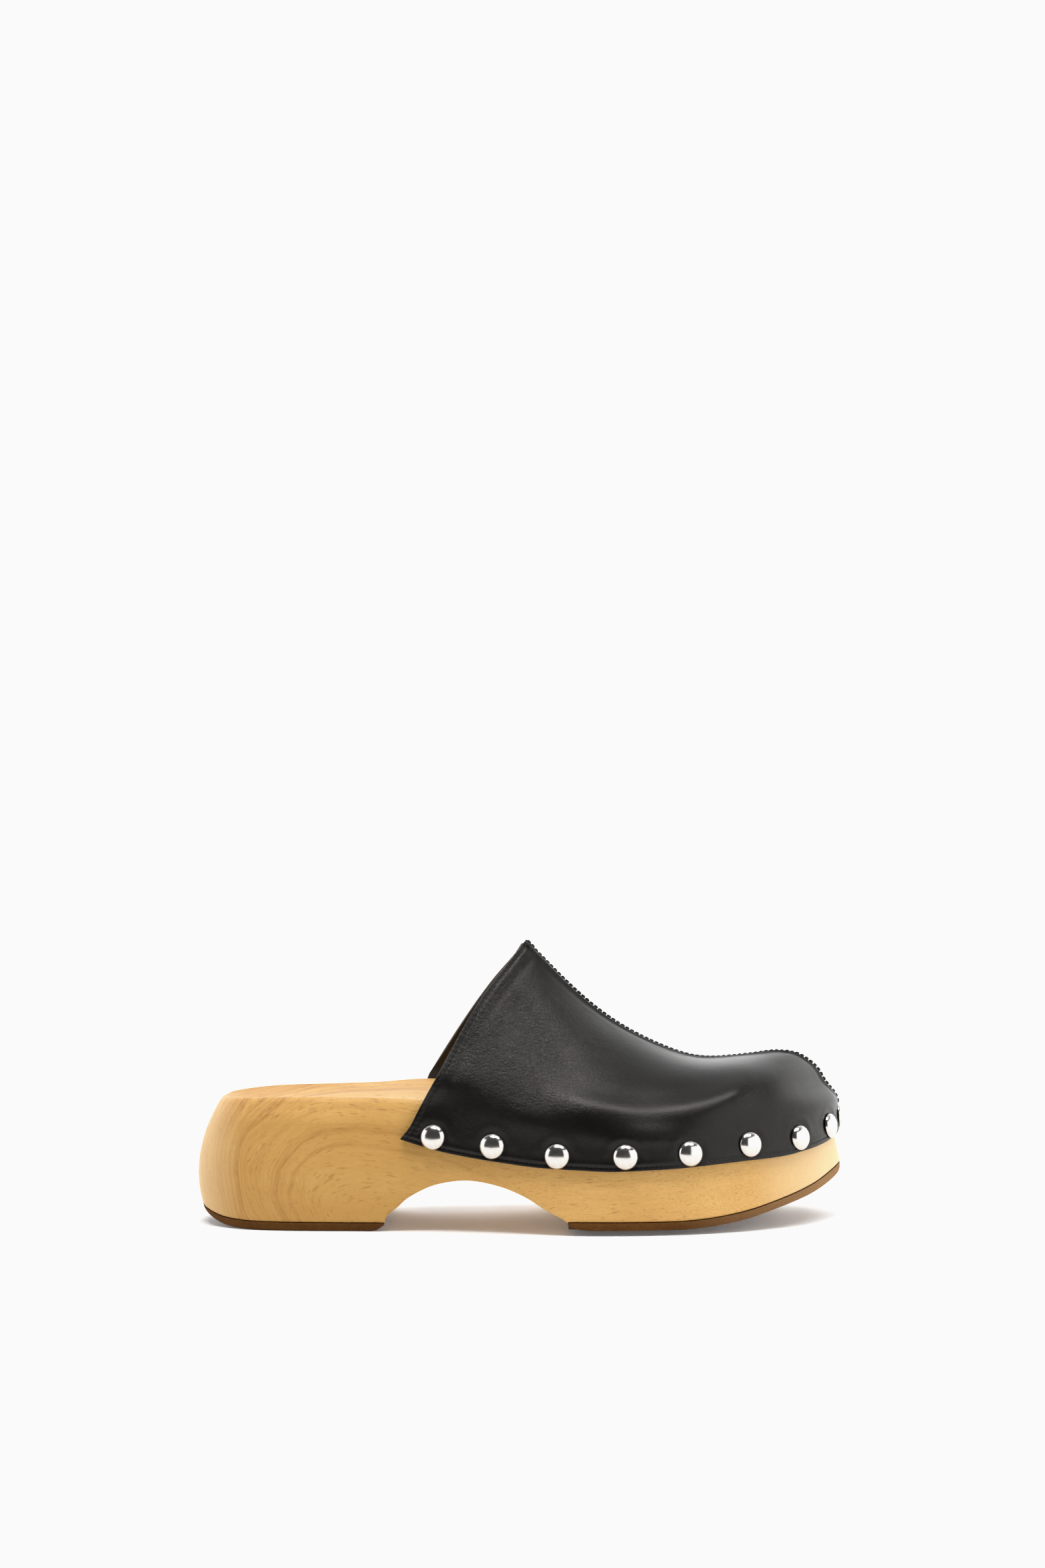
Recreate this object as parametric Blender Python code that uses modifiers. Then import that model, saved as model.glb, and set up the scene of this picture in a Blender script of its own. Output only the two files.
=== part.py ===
"""Wooden clog: carved wooden sole, two rubber treads, a closed leather upper in
two sewn halves with their linings, the sewing threads and the dome-headed nails
that hold the leather to the wood.

Metres, +Z up. +X points to the toe, -Y is the outer (lateral) side of a right
foot, the origin is on the ground under the middle of the bounding box.
Helper functions work in millimetres."""

import math

import bmesh
import bpy
import numpy as np
from mathutils import Matrix, Vector

MM = 0.001
LAT, MED = 0, 1

# ----------------------------------------------------------------- dimensions
ORIGIN = np.array([0.2, 0.6, 0.0])  # moved to the frame's origin at the end
GAP = 0.3              # clearance kept between touching pieces
OUTER_T = 1.1          # outer leather
LINING_T = 0.7         # lining leather
LAYER_GAP = 0.42
STACK = 0.58 + LINING_T + LAYER_GAP + OUTER_T
SEAM_HALF = 0.75       # half the width of the sewn valley at the centre seam
STUD_R, STUD_H = 5.0, 2.3
SHANK_R, SHANK_L = 0.9, 12.0
HOLE_R = SHANK_R + GAP
TREAD_SPLIT_HEEL, TREAD_SPLIT_FORE = -55.0, 18.0

# plan outline of the wood where it is widest, heel tip round the outer side to
# the toe and back along the inner side
OUTLINE = [
    (-131, 0), (-128.6, -13), (-120, -24), (-105, -31), (-85, -33.5), (-60, -34.5),
    (-40, -36), (-20, -39.5), (0, -43), (20, -45.5), (40, -45.8), (60, -43),
    (80, -36.5), (100, -25), (112, -14), (120.5, -1.5), (126.3, 15), (122.5, 29),
    (112, 39), (95, 44.5), (75, 47), (55, 46.5), (35, 43.5), (15, 38.5), (-5, 34),
    (-25, 31.5), (-45, 31), (-65, 32), (-85, 33), (-105, 31), (-120, 24), (-128.6, 13),
]
# height of the footbed's edge along the outer and the inner side
EDGE_X = [-131, -120, -100, -80, -60, -40, -20, 0, 20, 40, 60, 80, 100, 115, 127]
EDGE_Z = [
    [51, 51.3, 52.3, 52.5, 52.4, 51.7, 49.5, 45.5, 41.5, 38.8, 38.5, 40, 42.6, 46, 48],
    [51, 51.3, 52.3, 52.8, 53.5, 54.9, 53.5, 49, 43.5, 39.5, 38.8, 40, 42.6, 46, 48],
]
DISH_X, DISH_Z = [-131, -118, -100, -60, 0, 60, 100, 127], [0, 2.4, 3.2, 2.2, 1.4, 1.6, 1.2, 0]
# underside of the wood on its middle line, and the tread's walking face
FACE_X = [-131, -128, -118, -105, -54, 60, 72, 84.6, 101, 115, 123, 130.5]
FACE_Z = [7.6, 6.4, 4.2, 3.5, 3.4, 3.4, 4.1, 5.8, 10.2, 15.4, 19.8, 24.6]
WALK_X = [-131, -128, -122, -115, -105, -60, -57, -55, 18, 21, 27, 62, 72, 84.6, 101, 115, 125, 130.5]
WALK_Z = [4.4, 3.2, 1.3, 0.4, 0, 0, 0.7, 2.4, 2.0, 0.6, 0, 0, 0.6, 2.3, 6.7, 11.3, 16.4, 20.6]
LIFT_X, LIFT_Z = [0, 18, 80, 101, 115, 123, 130.5], [0, 2, 2, 1.6, 1.1, 0.6, 0]
# profile of the arch under the waist
ARCH = [
    (-54.3, 2.0), (-54.3, 4.9), (-52.5, 7), (-49.3, 9.6), (-46.2, 12.5), (-43, 14.6),
    (-36.7, 17.8), (-30.4, 19.6), (-21, 20.6), (-14.7, 19.9), (-8.4, 18.5),
    (-2.1, 16.2), (4.2, 13), (10.5, 9.1), (16.8, 5.7), (17.8, 4.9), (17.8, 2.0),
]
# leather's lower edge along the outline
HEM_X = [-48, -33.5, -21, -8, 7, 20, 35, 48, 60, 73, 86, 100, 113, 120, 124, 127]
HEM_Z = [37.0, 32.9, 30.6, 28.8, 27.1, 26.4, 25.8, 26.2, 26.7, 27.7, 28.6, 29.3, 31.2, 32.8, 34.4, 36.9]
SEAM_X = [1, 20, 40, 60, 80, 100, 112, 125, 130]
SEAM_Y = [0, 0.5, 1.5, 3, 6, 9.5, 12, 14, 15]
# stations of the upper, from the opening to the toe: where each starts on the
# lower edge, then shoulder, ledge, middle, near the seam, seam
STATIONS = [
    (-47.7, -44.0, -39.4, [(-36.2, -36.9, 56.5), (-29.5, -32, 68.5), (-20.5, -23.5, 84.5), (-9.5, -12.5, 100), (3.2, 0, 114.6)]),
    (-25.0, -22.5, -18.0, [(-13.5, -39.3, 57), (-8.5, -34.8, 65.5), (-2.5, -27, 77), (5.5, -14, 91.5), (14.1, 0.3, 101.6)]),
    (0.0, 2.0, 5.0, [(8, -42.7, 52.5), (10.8, -38, 60), (15.2, -28.5, 71), (21.5, -14, 82.5), (28, 0.8, 88)]),
    (25.0, 26.0, 27.5, [(29.5, -45.5, 46.8), (31.3, -40.2, 54.2), (34.2, -29.5, 64), (38.5, -14.5, 73), (43, 1.6, 77.4)]),
    (48.0, 48.5, 49.0, [(49.5, -44.2, 43.4), (50.3, -38.6, 51.4), (52, -28.5, 60.3), (55, -14, 67), (58, 2.8, 70)]),
    (70.0, 70.3, 70.5, [(71, -40.2, 45), (71.5, -35.2, 52.2), (72, -25.5, 60), (72.5, -11, 64.6), (73, 4.9, 65.6)]),
    (90.0, 90.0, 89.5, [(89.3, -31.6, 49.5), (88.8, -27.2, 56.8), (88, -18.5, 62.6), (87, -5.5, 65.5), (86, 7.1, 65.9)]),
    (108.0, 107.6, 106.5, [(105, -20, 51.5), (103.3, -15.5, 58), (101.3, -9, 62.8), (99, -0.5, 66), (96, 8.8, 66.9)]),
    (120.0, 119.6, 118.4, [(116.4, -1.8, 53.6), (114.2, 0.8, 59.4), (111.4, 4, 63.8), (107.8, 7.6, 66.8), (103, 10.1, 67.8)]),
    (126.4, 126.4, 126.4, [(124.6, 14, 54.8), (121.4, 13.5, 60), (117.6, 13, 63.6), (113, 12.2, 66.4), (108.5, 11.2, 67.6)]),
]
# how much higher the inner half stands near the seam, one value a station
INNER_RISE = [0, 0, 0.6, 1.2, 2.0, 2.8, 1.8, 0.9, 0.3, 0]
# nails: place on the outline and height, the last one on the centre seam
STUDS = [(-35.0, 37.8), (-11.5, 34.8), (13.8, 31.4), (39.9, 31.2), (64.8, 32.1), (88.2, 34.6), (108.3, 35.6), (121.6, 38.3)]
TOE_STUD_Z = 40.7


# ---------------------------------------------------------------- small maths
def spline(knots, values):
    """Natural cubic spline through the rows of values."""
    t, y = np.asarray(knots, float), np.asarray(values, float)
    n, h = len(t), np.diff(np.asarray(knots, float))
    a, b = np.eye(n), np.zeros_like(y)
    for i in range(1, n - 1):
        a[i, i - 1 : i + 2] = h[i - 1], 2 * (h[i - 1] + h[i]), h[i]
        b[i] = 6 * ((y[i + 1] - y[i]) / h[i] - (y[i] - y[i - 1]) / h[i - 1])
    m = np.linalg.solve(a, b)

    def at(x):
        x = np.asarray(x, float)
        i = np.clip(np.searchsorted(t, x) - 1, 0, n - 2)
        w = (x - t[i]) / h[i]
        hh = h[i]
        if y.ndim > 1:
            w, hh = w[..., None], hh[..., None]
        return (1 - w) * y[i] + w * y[i + 1] + hh * hh / 6 * (
            ((1 - w) ** 3 - (1 - w)) * m[i] + (w**3 - w) * m[i + 1]
        )

    return at


def pchip(xs, ys):
    """Shape-keeping cubic through the points, level past the ends."""
    xs, ys = np.asarray(xs, float), np.asarray(ys, float)
    h, d = np.diff(xs), np.diff(ys) / np.diff(xs)
    m = np.zeros(len(xs))
    for i in range(1, len(xs) - 1):
        if d[i - 1] * d[i] > 0:
            w1, w2 = 2 * h[i] + h[i - 1], h[i] + 2 * h[i - 1]
            m[i] = (w1 + w2) / (w1 / d[i - 1] + w2 / d[i])
    m[0], m[-1] = d[0], d[-1]

    def at(x):
        x = np.clip(np.asarray(x, float), xs[0], xs[-1])
        i = np.clip(np.searchsorted(xs, x) - 1, 0, len(xs) - 2)
        w = (x - xs[i]) / h[i]
        return (
            (2 * w**3 - 3 * w**2 + 1) * ys[i]
            + (w**3 - 2 * w**2 + w) * h[i] * m[i]
            + (3 * w**2 - 2 * w**3) * ys[i + 1]
            + (w**3 - w**2) * h[i] * m[i + 1]
        )

    return at


def smooth(x, lo, hi):
    w = np.clip((x - lo) / (hi - lo), 0, 1)
    return w * w * (3 - 2 * w)


# ------------------------------------------------------------- wood's outline
def outline_halves():
    p = np.array(OUTLINE, float)
    wrap = np.vstack([p[-4:], p, p[:5]])
    chord = np.concatenate([[0], np.cumsum(np.linalg.norm(np.diff(wrap, axis=0), axis=1))])
    curve = spline(chord, wrap)
    t = np.linspace(chord[4], chord[-5], 6001)[:-1]
    q = curve(t)
    d = np.roll(q, -1, axis=0) - np.roll(q, 1, axis=0)
    d /= np.linalg.norm(d, axis=1)[:, None]
    normal = np.stack([d[:, 1], -d[:, 0]], axis=1)
    heel, toe = int(q[:, 0].argmin()), int(q[:, 0].argmax())
    order = (np.arange(len(q)) + heel) % len(q)
    toe = (toe - heel) % len(q)
    table = np.hstack([q, normal])[order]
    table = np.vstack([table, table[:1]])
    return table[: toe + 1], table[toe:][::-1]


HALF = outline_halves()
HEEL_TIP, TOE_TIP = HALF[0][0, 0], HALF[0][-1, 0]
edge_z = [pchip(EDGE_X, z) for z in EDGE_Z]
dish_z, face_z, walk_z = pchip(DISH_X, DISH_Z), pchip(FACE_X, FACE_Z), pchip(WALK_X, WALK_Z)
lift_z, hem_z, seam_y = pchip(LIFT_X, LIFT_Z), pchip(HEM_X, HEM_Z), pchip(SEAM_X, SEAM_Y)


def at_outline(side, x):
    table = HALF[side]
    row = np.array([np.interp(x, table[:, 0], table[:, k]) for k in range(4)])
    row[2:] /= np.hypot(row[2], row[3])
    return row


RUN = [np.concatenate([[0], np.cumsum(np.linalg.norm(np.diff(h[:, :2], axis=0), axis=1))]) for h in HALF]


def run_at(side, x):
    """Distance along the outline from the heel tip."""
    return float(np.interp(x, HALF[side][:, 0], RUN[side]))


def x_at(side, run):
    return float(np.interp(run, RUN[side], HALF[side][:, 0]))


def wall(side, x, z, out=0.0):
    """The wood's side at a place on the outline and a height, moved outwards."""
    px, py, nx, ny = at_outline(side, x)
    back, front = max(0.0, -nx) ** 2, max(0.0, nx) ** 2
    fore = smooth(px, -45, 15)
    base = 4.0 - 1.0 * smooth(px, -90, -45)
    if z > 20:
        heel = -(base + (10 - base) * back) * ((z - 20) / 31) ** 2
    else:
        heel = -(1.0 + 4.0 * back) * ((20 - z) / 20) ** 2
    reach = np.clip((42 - z) / (20 - 4 * front), 0, 1.15)
    toe = (1.5 + 1.5 * front) * reach**1.3
    d = (1 - fore) * heel + fore * toe + out
    return np.array([px + nx * d, py + ny * d, z])


def wall_normal(side, x, z):
    across = at_outline(side, x)[2:]
    up = wall(side, x, z + 1) - wall(side, x, z - 1)
    along = np.array([-across[1], across[0], 0])
    n = np.cross(along, up)
    n /= np.linalg.norm(n)
    return n if n[0] * across[0] + n[1] * across[1] > 0 else -n


# --------------------------------------------------------------- scene basics
for old in list(bpy.data.objects):
    bpy.data.objects.remove(old, do_unlink=True)

parts = bpy.data.collections.new("wooden_clog")
cutters = bpy.data.collections.new("cutters")
for c in (parts, cutters):
    bpy.context.scene.collection.children.link(c)


def material(name, rgb, rough, metal=0.0):
    mat = bpy.data.materials.new(name)
    mat.use_nodes = True
    node = mat.node_tree.nodes["Principled BSDF"]
    linear = [v / 12.92 if v <= 0.04045 else ((v + 0.055) / 1.055) ** 2.4 for v in rgb]
    node.inputs["Base Color"].default_value = (*linear, 1)
    node.inputs["Roughness"].default_value = rough
    node.inputs["Metallic"].default_value = metal
    mat.diffuse_color = (*linear, 1)
    return mat


WOOD = material("wood", (0.80, 0.62, 0.35), 0.55)
RUBBER = material("rubber", (0.36, 0.24, 0.14), 0.75)
LEATHER = material("leather_outer", (0.115, 0.115, 0.105), 0.42)
LINING = material("leather_lining", (0.15, 0.14, 0.13), 0.7)
THREAD = material("thread", (0.07, 0.07, 0.07), 0.6)
METAL = material("stud_metal", (0.88, 0.88, 0.88), 0.12, 1.0)


def new_object(name, verts, faces, mat, where=parts):
    mesh = bpy.data.meshes.new(name)
    mesh.from_pydata([tuple(float(c) * MM for c in v) for v in verts], [], faces)
    mesh.update()
    bm = bmesh.new()
    bm.from_mesh(mesh)
    bmesh.ops.remove_doubles(bm, verts=bm.verts, dist=1e-6)
    bmesh.ops.recalc_face_normals(bm, faces=bm.faces)
    if bm.calc_volume(signed=True) < 0:
        bmesh.ops.reverse_faces(bm, faces=bm.faces)
    bm.to_mesh(mesh)
    bm.free()
    for polygon in mesh.polygons:
        polygon.use_smooth = True
    obj = bpy.data.objects.new(name, mesh)
    where.objects.link(obj)
    if mat:
        mesh.materials.append(mat)
    return obj


def cut(target, cutter):
    cutter.hide_render = True
    cutter.display_type = "WIRE"
    mod = target.modifiers.new("cut_" + cutter.name, "BOOLEAN")
    mod.operation, mod.solver, mod.object = "DIFFERENCE", "EXACT", cutter


# --------------------------------------------------------- sole and treads
def block(name, xs, lat, med, floor, roof, across, mat):
    """Loft whose sides are columns of points, low to high, that meet at a tip
    or end in a flat face; floor and roof give the heights between them."""
    lat, med = np.asarray(lat), np.asarray(med)
    k, levels = len(lat), lat.shape[1]
    verts, faces = [], []

    def add(p):
        verts.append(np.array(p, float))
        return len(verts) - 1

    tip = [np.allclose(lat[e], med[e]) for e in (0, -1)]
    li = [[add(p) for p in col] for col in lat]
    mi = []
    for i, col in enumerate(med):
        shared = (i == 0 and tip[0]) or (i == k - 1 and tip[1])
        mi.append(li[i] if shared else [add(p) for p in col])
    for i in range(k - 1):
        for j in range(levels - 1):
            faces.append((li[i][j], li[i + 1][j], li[i + 1][j + 1], li[i][j + 1]))
            faces.append((mi[i][j], mi[i][j + 1], mi[i + 1][j + 1], mi[i + 1][j]))
    for level, height, flip in ((0, floor, False), (levels - 1, roof, True)):
        rows = []
        for i in range(k):
            a, b = lat[i][level], med[i][level]
            if li[i] is mi[i]:
                rows.append([li[i][level]])
                continue
            row = [li[i][level]]
            for s in np.linspace(0, 1, across + 1)[1:-1]:
                p = a + (b - a) * s
                p[2] = height(xs[i], s, p[2])
                row.append(add(p))
            rows.append(row + [mi[i][level]])
        for i in range(k - 1):
            a, b = rows[i], rows[i + 1]
            if len(a) == 1 or len(b) == 1:
                one, many = (a[0], b) if len(a) == 1 else (b[0], a)
                quads = [(one, many[j], many[j + 1]) for j in range(len(many) - 1)]
            else:
                quads = [(a[j], b[j], b[j + 1], a[j + 1]) for j in range(across)]
            faces += [q[::-1] for q in quads] if flip else quads
        if level == 0:
            low_rows = rows
        else:
            high_rows = rows
    for e, is_tip in zip((0, k - 1), tip):
        if not is_tip:
            faces.append(li[e] + high_rows[e][1:-1] + mi[e][::-1] + low_rows[e][1:-1][::-1])
    return new_object(name, verts, faces, mat)


def stations(lo, hi, n, tip_lo, tip_hi):
    """Places along X, closer together towards a rounded tip."""
    w = np.linspace(0, 1, n)
    if tip_lo and tip_hi:
        w = (1 - np.cos(math.pi * w)) / 2 * 0.55 + w * 0.45
        w[1], w[-2] = w[1] * 0.35, 1 - (1 - w[-2]) * 0.35
        w[2], w[-3] = w[2] * 0.72, 1 - (1 - w[-3]) * 0.72
    elif tip_hi:
        w = np.sin(math.pi / 2 * w) * 0.6 + w * 0.4
        w[-2], w[-3] = 1 - (1 - w[-2]) * 0.45, 1 - (1 - w[-3]) * 0.8
    elif tip_lo:
        w = (1 - np.cos(math.pi / 2 * w)) * 0.6 + w * 0.4
        w[1], w[2] = w[1] * 0.45, w[2] * 0.8
    return lo + (hi - lo) * w


def sole_stations():
    """One set of places for the wood and both treads, so their faces match."""
    marks = [-60.0, -57.0, TREAD_SPLIT_HEEL, TREAD_SPLIT_FORE, 21.0, 27.0]
    xs = [x for x in stations(HEEL_TIP, TOE_TIP, 46, True, True) if min(abs(x - m) for m in marks) > 1.6]
    return np.array(sorted(xs + marks))


SOLE_XS = sole_stations()


def wood_sole():
    xs = SOLE_XS
    cols = ([], [])
    for side in (LAT, MED):
        for x in xs:
            low = float(face_z(x) + lift_z(x)) + GAP / 2
            top = float(edge_z[side](x))
            col = [wall(side, x, low + (top - 1.3 - low) * f) for f in (0, 0.14, 0.3, 0.5, 0.7, 0.86, 1)]
            col.append(wall(side, x, top - 0.4, -0.35))
            col.append(wall(side, x, top, -1.3))
            cols[side].append(col)
    for e in (0, -1):
        cols[MED][e] = cols[LAT][e]

    def floor(x, s, z):
        return float(face_z(x) + lift_z(x) * abs(2 * s - 1) ** 2.2) + GAP / 2

    def roof(x, s, z):
        return z - float(dish_z(x)) * (1 - abs(2 * s - 1) ** 2.4)

    return block("wooden_sole", xs, cols[0], cols[1], floor, roof, 8, WOOD)


def tread(name, lo, hi):
    xs = SOLE_XS[(SOLE_XS >= lo - 0.01) & (SOLE_XS <= hi + 0.01)]
    n = len(xs)
    cols = ([], [])
    for side in (LAT, MED):
        for i, x in enumerate(xs):
            end = (i == 0 and lo > -100) or (i == n - 1 and hi < 100)
            top = float(face_z(x) + lift_z(x)) - GAP / 2
            low = min(float(walk_z(x) + lift_z(x)), top - 1.0)
            h = top - low
            tuck = 0.6 if end else 0.0
            cols[side].append([
                wall(side, x, low, -1.8 - tuck),
                wall(side, x, low + 0.22 * h, -0.75 - tuck),
                wall(side, x, low + 0.5 * h, -0.15 - tuck),
                wall(side, x, top, 0.0 - tuck),
            ])
    for e, is_tip in ((0, lo < -100), (-1, hi > 100)):
        if is_tip:
            cols[MED][e] = cols[LAT][e]

    def floor(x, s, z):
        return min(float(walk_z(x) + lift_z(x) * abs(2 * s - 1) ** 2.2), float(face_z(x)) - 1.2)

    def roof(x, s, z):
        return float(face_z(x) + lift_z(x) * abs(2 * s - 1) ** 2.2) - GAP / 2

    return block(name, xs, cols[0], cols[1], floor, roof, 8, RUBBER)


sole = wood_sole()
tread("heel_tread", HEEL_TIP, TREAD_SPLIT_HEEL)
tread("forefoot_tread", TREAD_SPLIT_FORE, TOE_TIP)

# the arch: a flat outline, extruded right through the waist
arch_points = np.array(ARCH)
arch_chord = np.concatenate([[0], np.cumsum(np.linalg.norm(np.diff(arch_points[1:-1], axis=0), axis=1))])
arch_curve = spline(arch_chord, arch_points[1:-1])(np.linspace(0, arch_chord[-1], 26))
outline = [(-54.3, -6.0), *map(tuple, arch_curve), (17.8, -6.0)]
flat = bpy.data.curves.new("arch_outline", "CURVE")
flat.dimensions, flat.fill_mode, flat.extrude = "2D", "BOTH", 70 * MM
line = flat.splines.new("POLY")
line.points.add(len(outline) - 1)
for point, (x, z) in zip(line.points, outline):
    point.co = (x * MM, z * MM, 0, 1)
line.use_cyclic_u = True
flat_obj = bpy.data.objects.new("arch_outline", flat)
flat_obj.rotation_euler = (math.pi / 2, 0, 0)
cutters.objects.link(flat_obj)
bpy.context.view_layer.update()
arch_mesh = bpy.data.meshes.new_from_object(
    flat_obj.evaluated_get(bpy.context.evaluated_depsgraph_get())
)
bm = bmesh.new()
bm.from_mesh(arch_mesh)
bmesh.ops.remove_doubles(bm, verts=bm.verts, dist=1e-6)
bmesh.ops.recalc_face_normals(bm, faces=bm.faces)
bm.to_mesh(arch_mesh)
bm.free()
arch_cutter = bpy.data.objects.new("arch_cutter", arch_mesh)
arch_cutter.matrix_world = flat_obj.matrix_world
cutters.objects.link(arch_cutter)
bpy.data.objects.remove(flat_obj, do_unlink=True)
cut(sole, arch_cutter)


# ------------------------------------------------------------ leather surfaces
def station_rows(side):
    """Control rows above the wall: one array a station, five points each."""
    rows = []
    for (xh, _, _, pts), rise in zip(STATIONS, INNER_RISE):
        pts = np.array(pts, float)
        if side == MED:
            for i, p in enumerate(pts):
                ys = float(seam_y(p[0]))
                if xh >= TOE_TIP - 0.01 or i == len(pts) - 1:
                    p[1] = ys
                    continue
                x = min(p[0], 118.0)
                z = 44.0
                inner, outer = wall(MED, x, z)[1] - ys, ys - wall(LAT, x, z)[1]
                p[1] = ys + (ys - p[1]) * inner / outer
                p[2] += rise * (0.25, 0.45, 0.75, 1.0)[i]
                fall = float(smooth(xh, 5, 40) * (1 - smooth(xh, 85, 112)))
                p[2] -= fall * (0.0, 0.8, 2.0, 2.3)[i]
                if xh < -40:
                    p[0] -= (1.9, 1.7, 0.3, 0.0)[i]
        rows.append(pts)
    return np.array(rows)


ROWS = [station_rows(LAT), station_rows(MED)]
KNOTS = np.concatenate([[0], np.cumsum(np.linalg.norm(np.diff(ROWS[0].mean(axis=1), axis=0), axis=1) * 0.5
    + 0.5 * np.abs(np.diff([s[0] for s in STATIONS])))])
KNOTS = KNOTS / KNOTS[-1]
upper_rows = [spline(KNOTS, r.reshape(len(r), -1)) for r in ROWS]
WALL_RUNS = [
    [pchip(KNOTS, [run_at(side, s[k]) for s in STATIONS]) for k in range(3)] for side in (LAT, MED)
]


def strip(side, t, out, hem_up=0.0):
    """One station of the leather as a curve in v, lower edge to seam."""
    xf, xs, xb = (x_at(side, float(run(t))) for run in WALL_RUNS[side])
    hem = float(hem_z(xf)) + hem_up
    zs = float(hem_z(xs)) + 5.7
    zb = float(edge_z[side](xb)) - 1.0
    xm, zm = (xs + xb) / 2, (zs + zb) / 2
    low = [wall(side, x, z, out) for x, z in ((xf, hem), (xs, zs), (xm, zm), (xb, zb))]
    pts = np.vstack([low, upper_rows[side](t).reshape(-1, 3)])
    return pts


def grid_normals(grid):
    n = np.cross(np.gradient(grid, axis=0), np.gradient(grid, axis=1))
    n = n / np.maximum(np.linalg.norm(n, axis=2, keepdims=True), 1e-9)
    # the crown corner lies in the middle of a straight edge, where rows and
    # columns run the same way, so its normals come from around it
    away = np.linalg.norm(grid - grid[-1, -1], axis=2)
    ring = n[(away > 8) & (away < 15)].sum(axis=0)
    blend = np.exp(-((away / 5.5) ** 2))[..., None]
    n = n * (1 - blend) + ring / np.linalg.norm(ring) * blend
    n /= np.linalg.norm(n, axis=2, keepdims=True)
    return -n if (n * (grid - np.array([30.0, 5.0, 40.0]))).sum() < 0 else n


def leather_grid(side, nt, nv, inset=0.0, seam=SEAM_HALF, depth=OUTER_T, hem_up=0.0):
    """Grid of points of one leather layer's outer face, and its normals."""
    ts, vs = 1 - (1 - np.linspace(0, 1, nt)) ** 1.3, np.linspace(0, 1, nv)
    grid = np.zeros((nt, nv, 3))
    for i, t in enumerate(ts):
        pts = strip(side, t, STACK)
        chord = np.concatenate([[0], np.cumsum(np.linalg.norm(np.diff(pts, axis=0), axis=1))])
        grid[i] = spline(chord / chord[-1], pts)(vs)
    n = grid_normals(grid)
    up = np.gradient(grid, axis=1)
    up /= np.linalg.norm(up, axis=2, keepdims=True)
    grid = grid - n * inset + up * (hem_up * (1 - smooth(vs, 0, 0.2)))[None, :, None]
    # clear the sewn valley: points by the seam step aside along the surface,
    # by more where it is tilted, so that the edge's inner corner clears too
    sign = -1 if side == LAT else 1
    tilt = np.abs(n[..., 1])
    top = np.maximum(seam, 0.35 + depth * tilt[:, -1])
    nose = np.maximum(seam, 0.35 + depth * tilt[-1, :])
    corner = np.linalg.norm(grid - grid[-1, -1], axis=2)
    step = np.maximum(
        np.maximum(smooth(vs, 0.72, 1.0)[None, :] * top[:, None], smooth(ts, 0.93, 1.0)[:, None] * nose[None, :]),
        np.exp(-((corner / 6.0) ** 4)) * (top[-1] + 0.5),
    )
    along = np.array([0.0, 1.0, 0.0]) - n * n[..., 1:2]
    along /= np.maximum(along[..., 1:2], 0.3)
    grid = grid + along * (step * sign)[..., None]
    return grid, n


def sheet(name, grid, n, thickness, mat):
    """An open surface with Solidify, its thickness on the inner side."""
    nt, nv = grid.shape[:2]
    faces = []
    for i in range(nt - 1):
        for j in range(nv - 1):
            a, b, c, d = i * nv + j, (i + 1) * nv + j, (i + 1) * nv + j + 1, i * nv + j + 1
            if i == nt - 2 and j == nv - 2:
                faces += [(a, b, c), (a, c, d)]
            else:
                faces.append((a, b, c, d))
    flat_grid = grid.reshape(-1, 3)
    n = n.reshape(-1, 3)
    a, b, c = (flat_grid[k] for k in faces[len(faces) // 2][:3])
    if np.dot(np.cross(b - a, c - a), n[faces[len(faces) // 2][0]]) < 0:
        faces = [f[::-1] for f in faces]
    mesh = bpy.data.meshes.new(name)
    mesh.from_pydata([tuple(float(v) * MM for v in p) for p in flat_grid], [], faces)
    mesh.update()
    for polygon in mesh.polygons:
        polygon.use_smooth = True
    mesh.materials.append(mat)
    obj = bpy.data.objects.new(name, mesh)
    parts.objects.link(obj)
    mod = obj.modifiers.new("thickness", "SOLIDIFY")
    mod.thickness, mod.offset, mod.use_even_offset = thickness * MM, -1.0, True
    return obj


NT, NV = 34, 13
halves = []
for side, word in ((LAT, "lateral"), (MED, "medial")):
    grid, n = leather_grid(side, NT, NV)
    halves.append(sheet("upper_" + word, grid, n, OUTER_T, LEATHER))
    grid, n = leather_grid(side, NT, NV, inset=OUTER_T + LAYER_GAP, seam=0.5, depth=OUTER_T + LAYER_GAP + LINING_T, hem_up=0.8)
    halves.append(sheet("lining_" + word, grid, n, LINING_T, LINING))


# -------------------------------------------------------------------- threads
def tube(name, points, radius, mat):
    curve = bpy.data.curves.new(name, "CURVE")
    curve.dimensions, curve.bevel_depth, curve.bevel_resolution = "3D", radius * MM, 1
    curve.use_fill_caps = True
    line = curve.splines.new("POLY")
    line.points.add(len(points) - 1)
    for point, p in zip(line.points, points):
        point.co = (*(float(c) * MM for c in p), 1)
    obj = bpy.data.objects.new(name, curve)
    parts.objects.link(obj)
    curve.materials.append(mat)
    return obj


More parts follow.
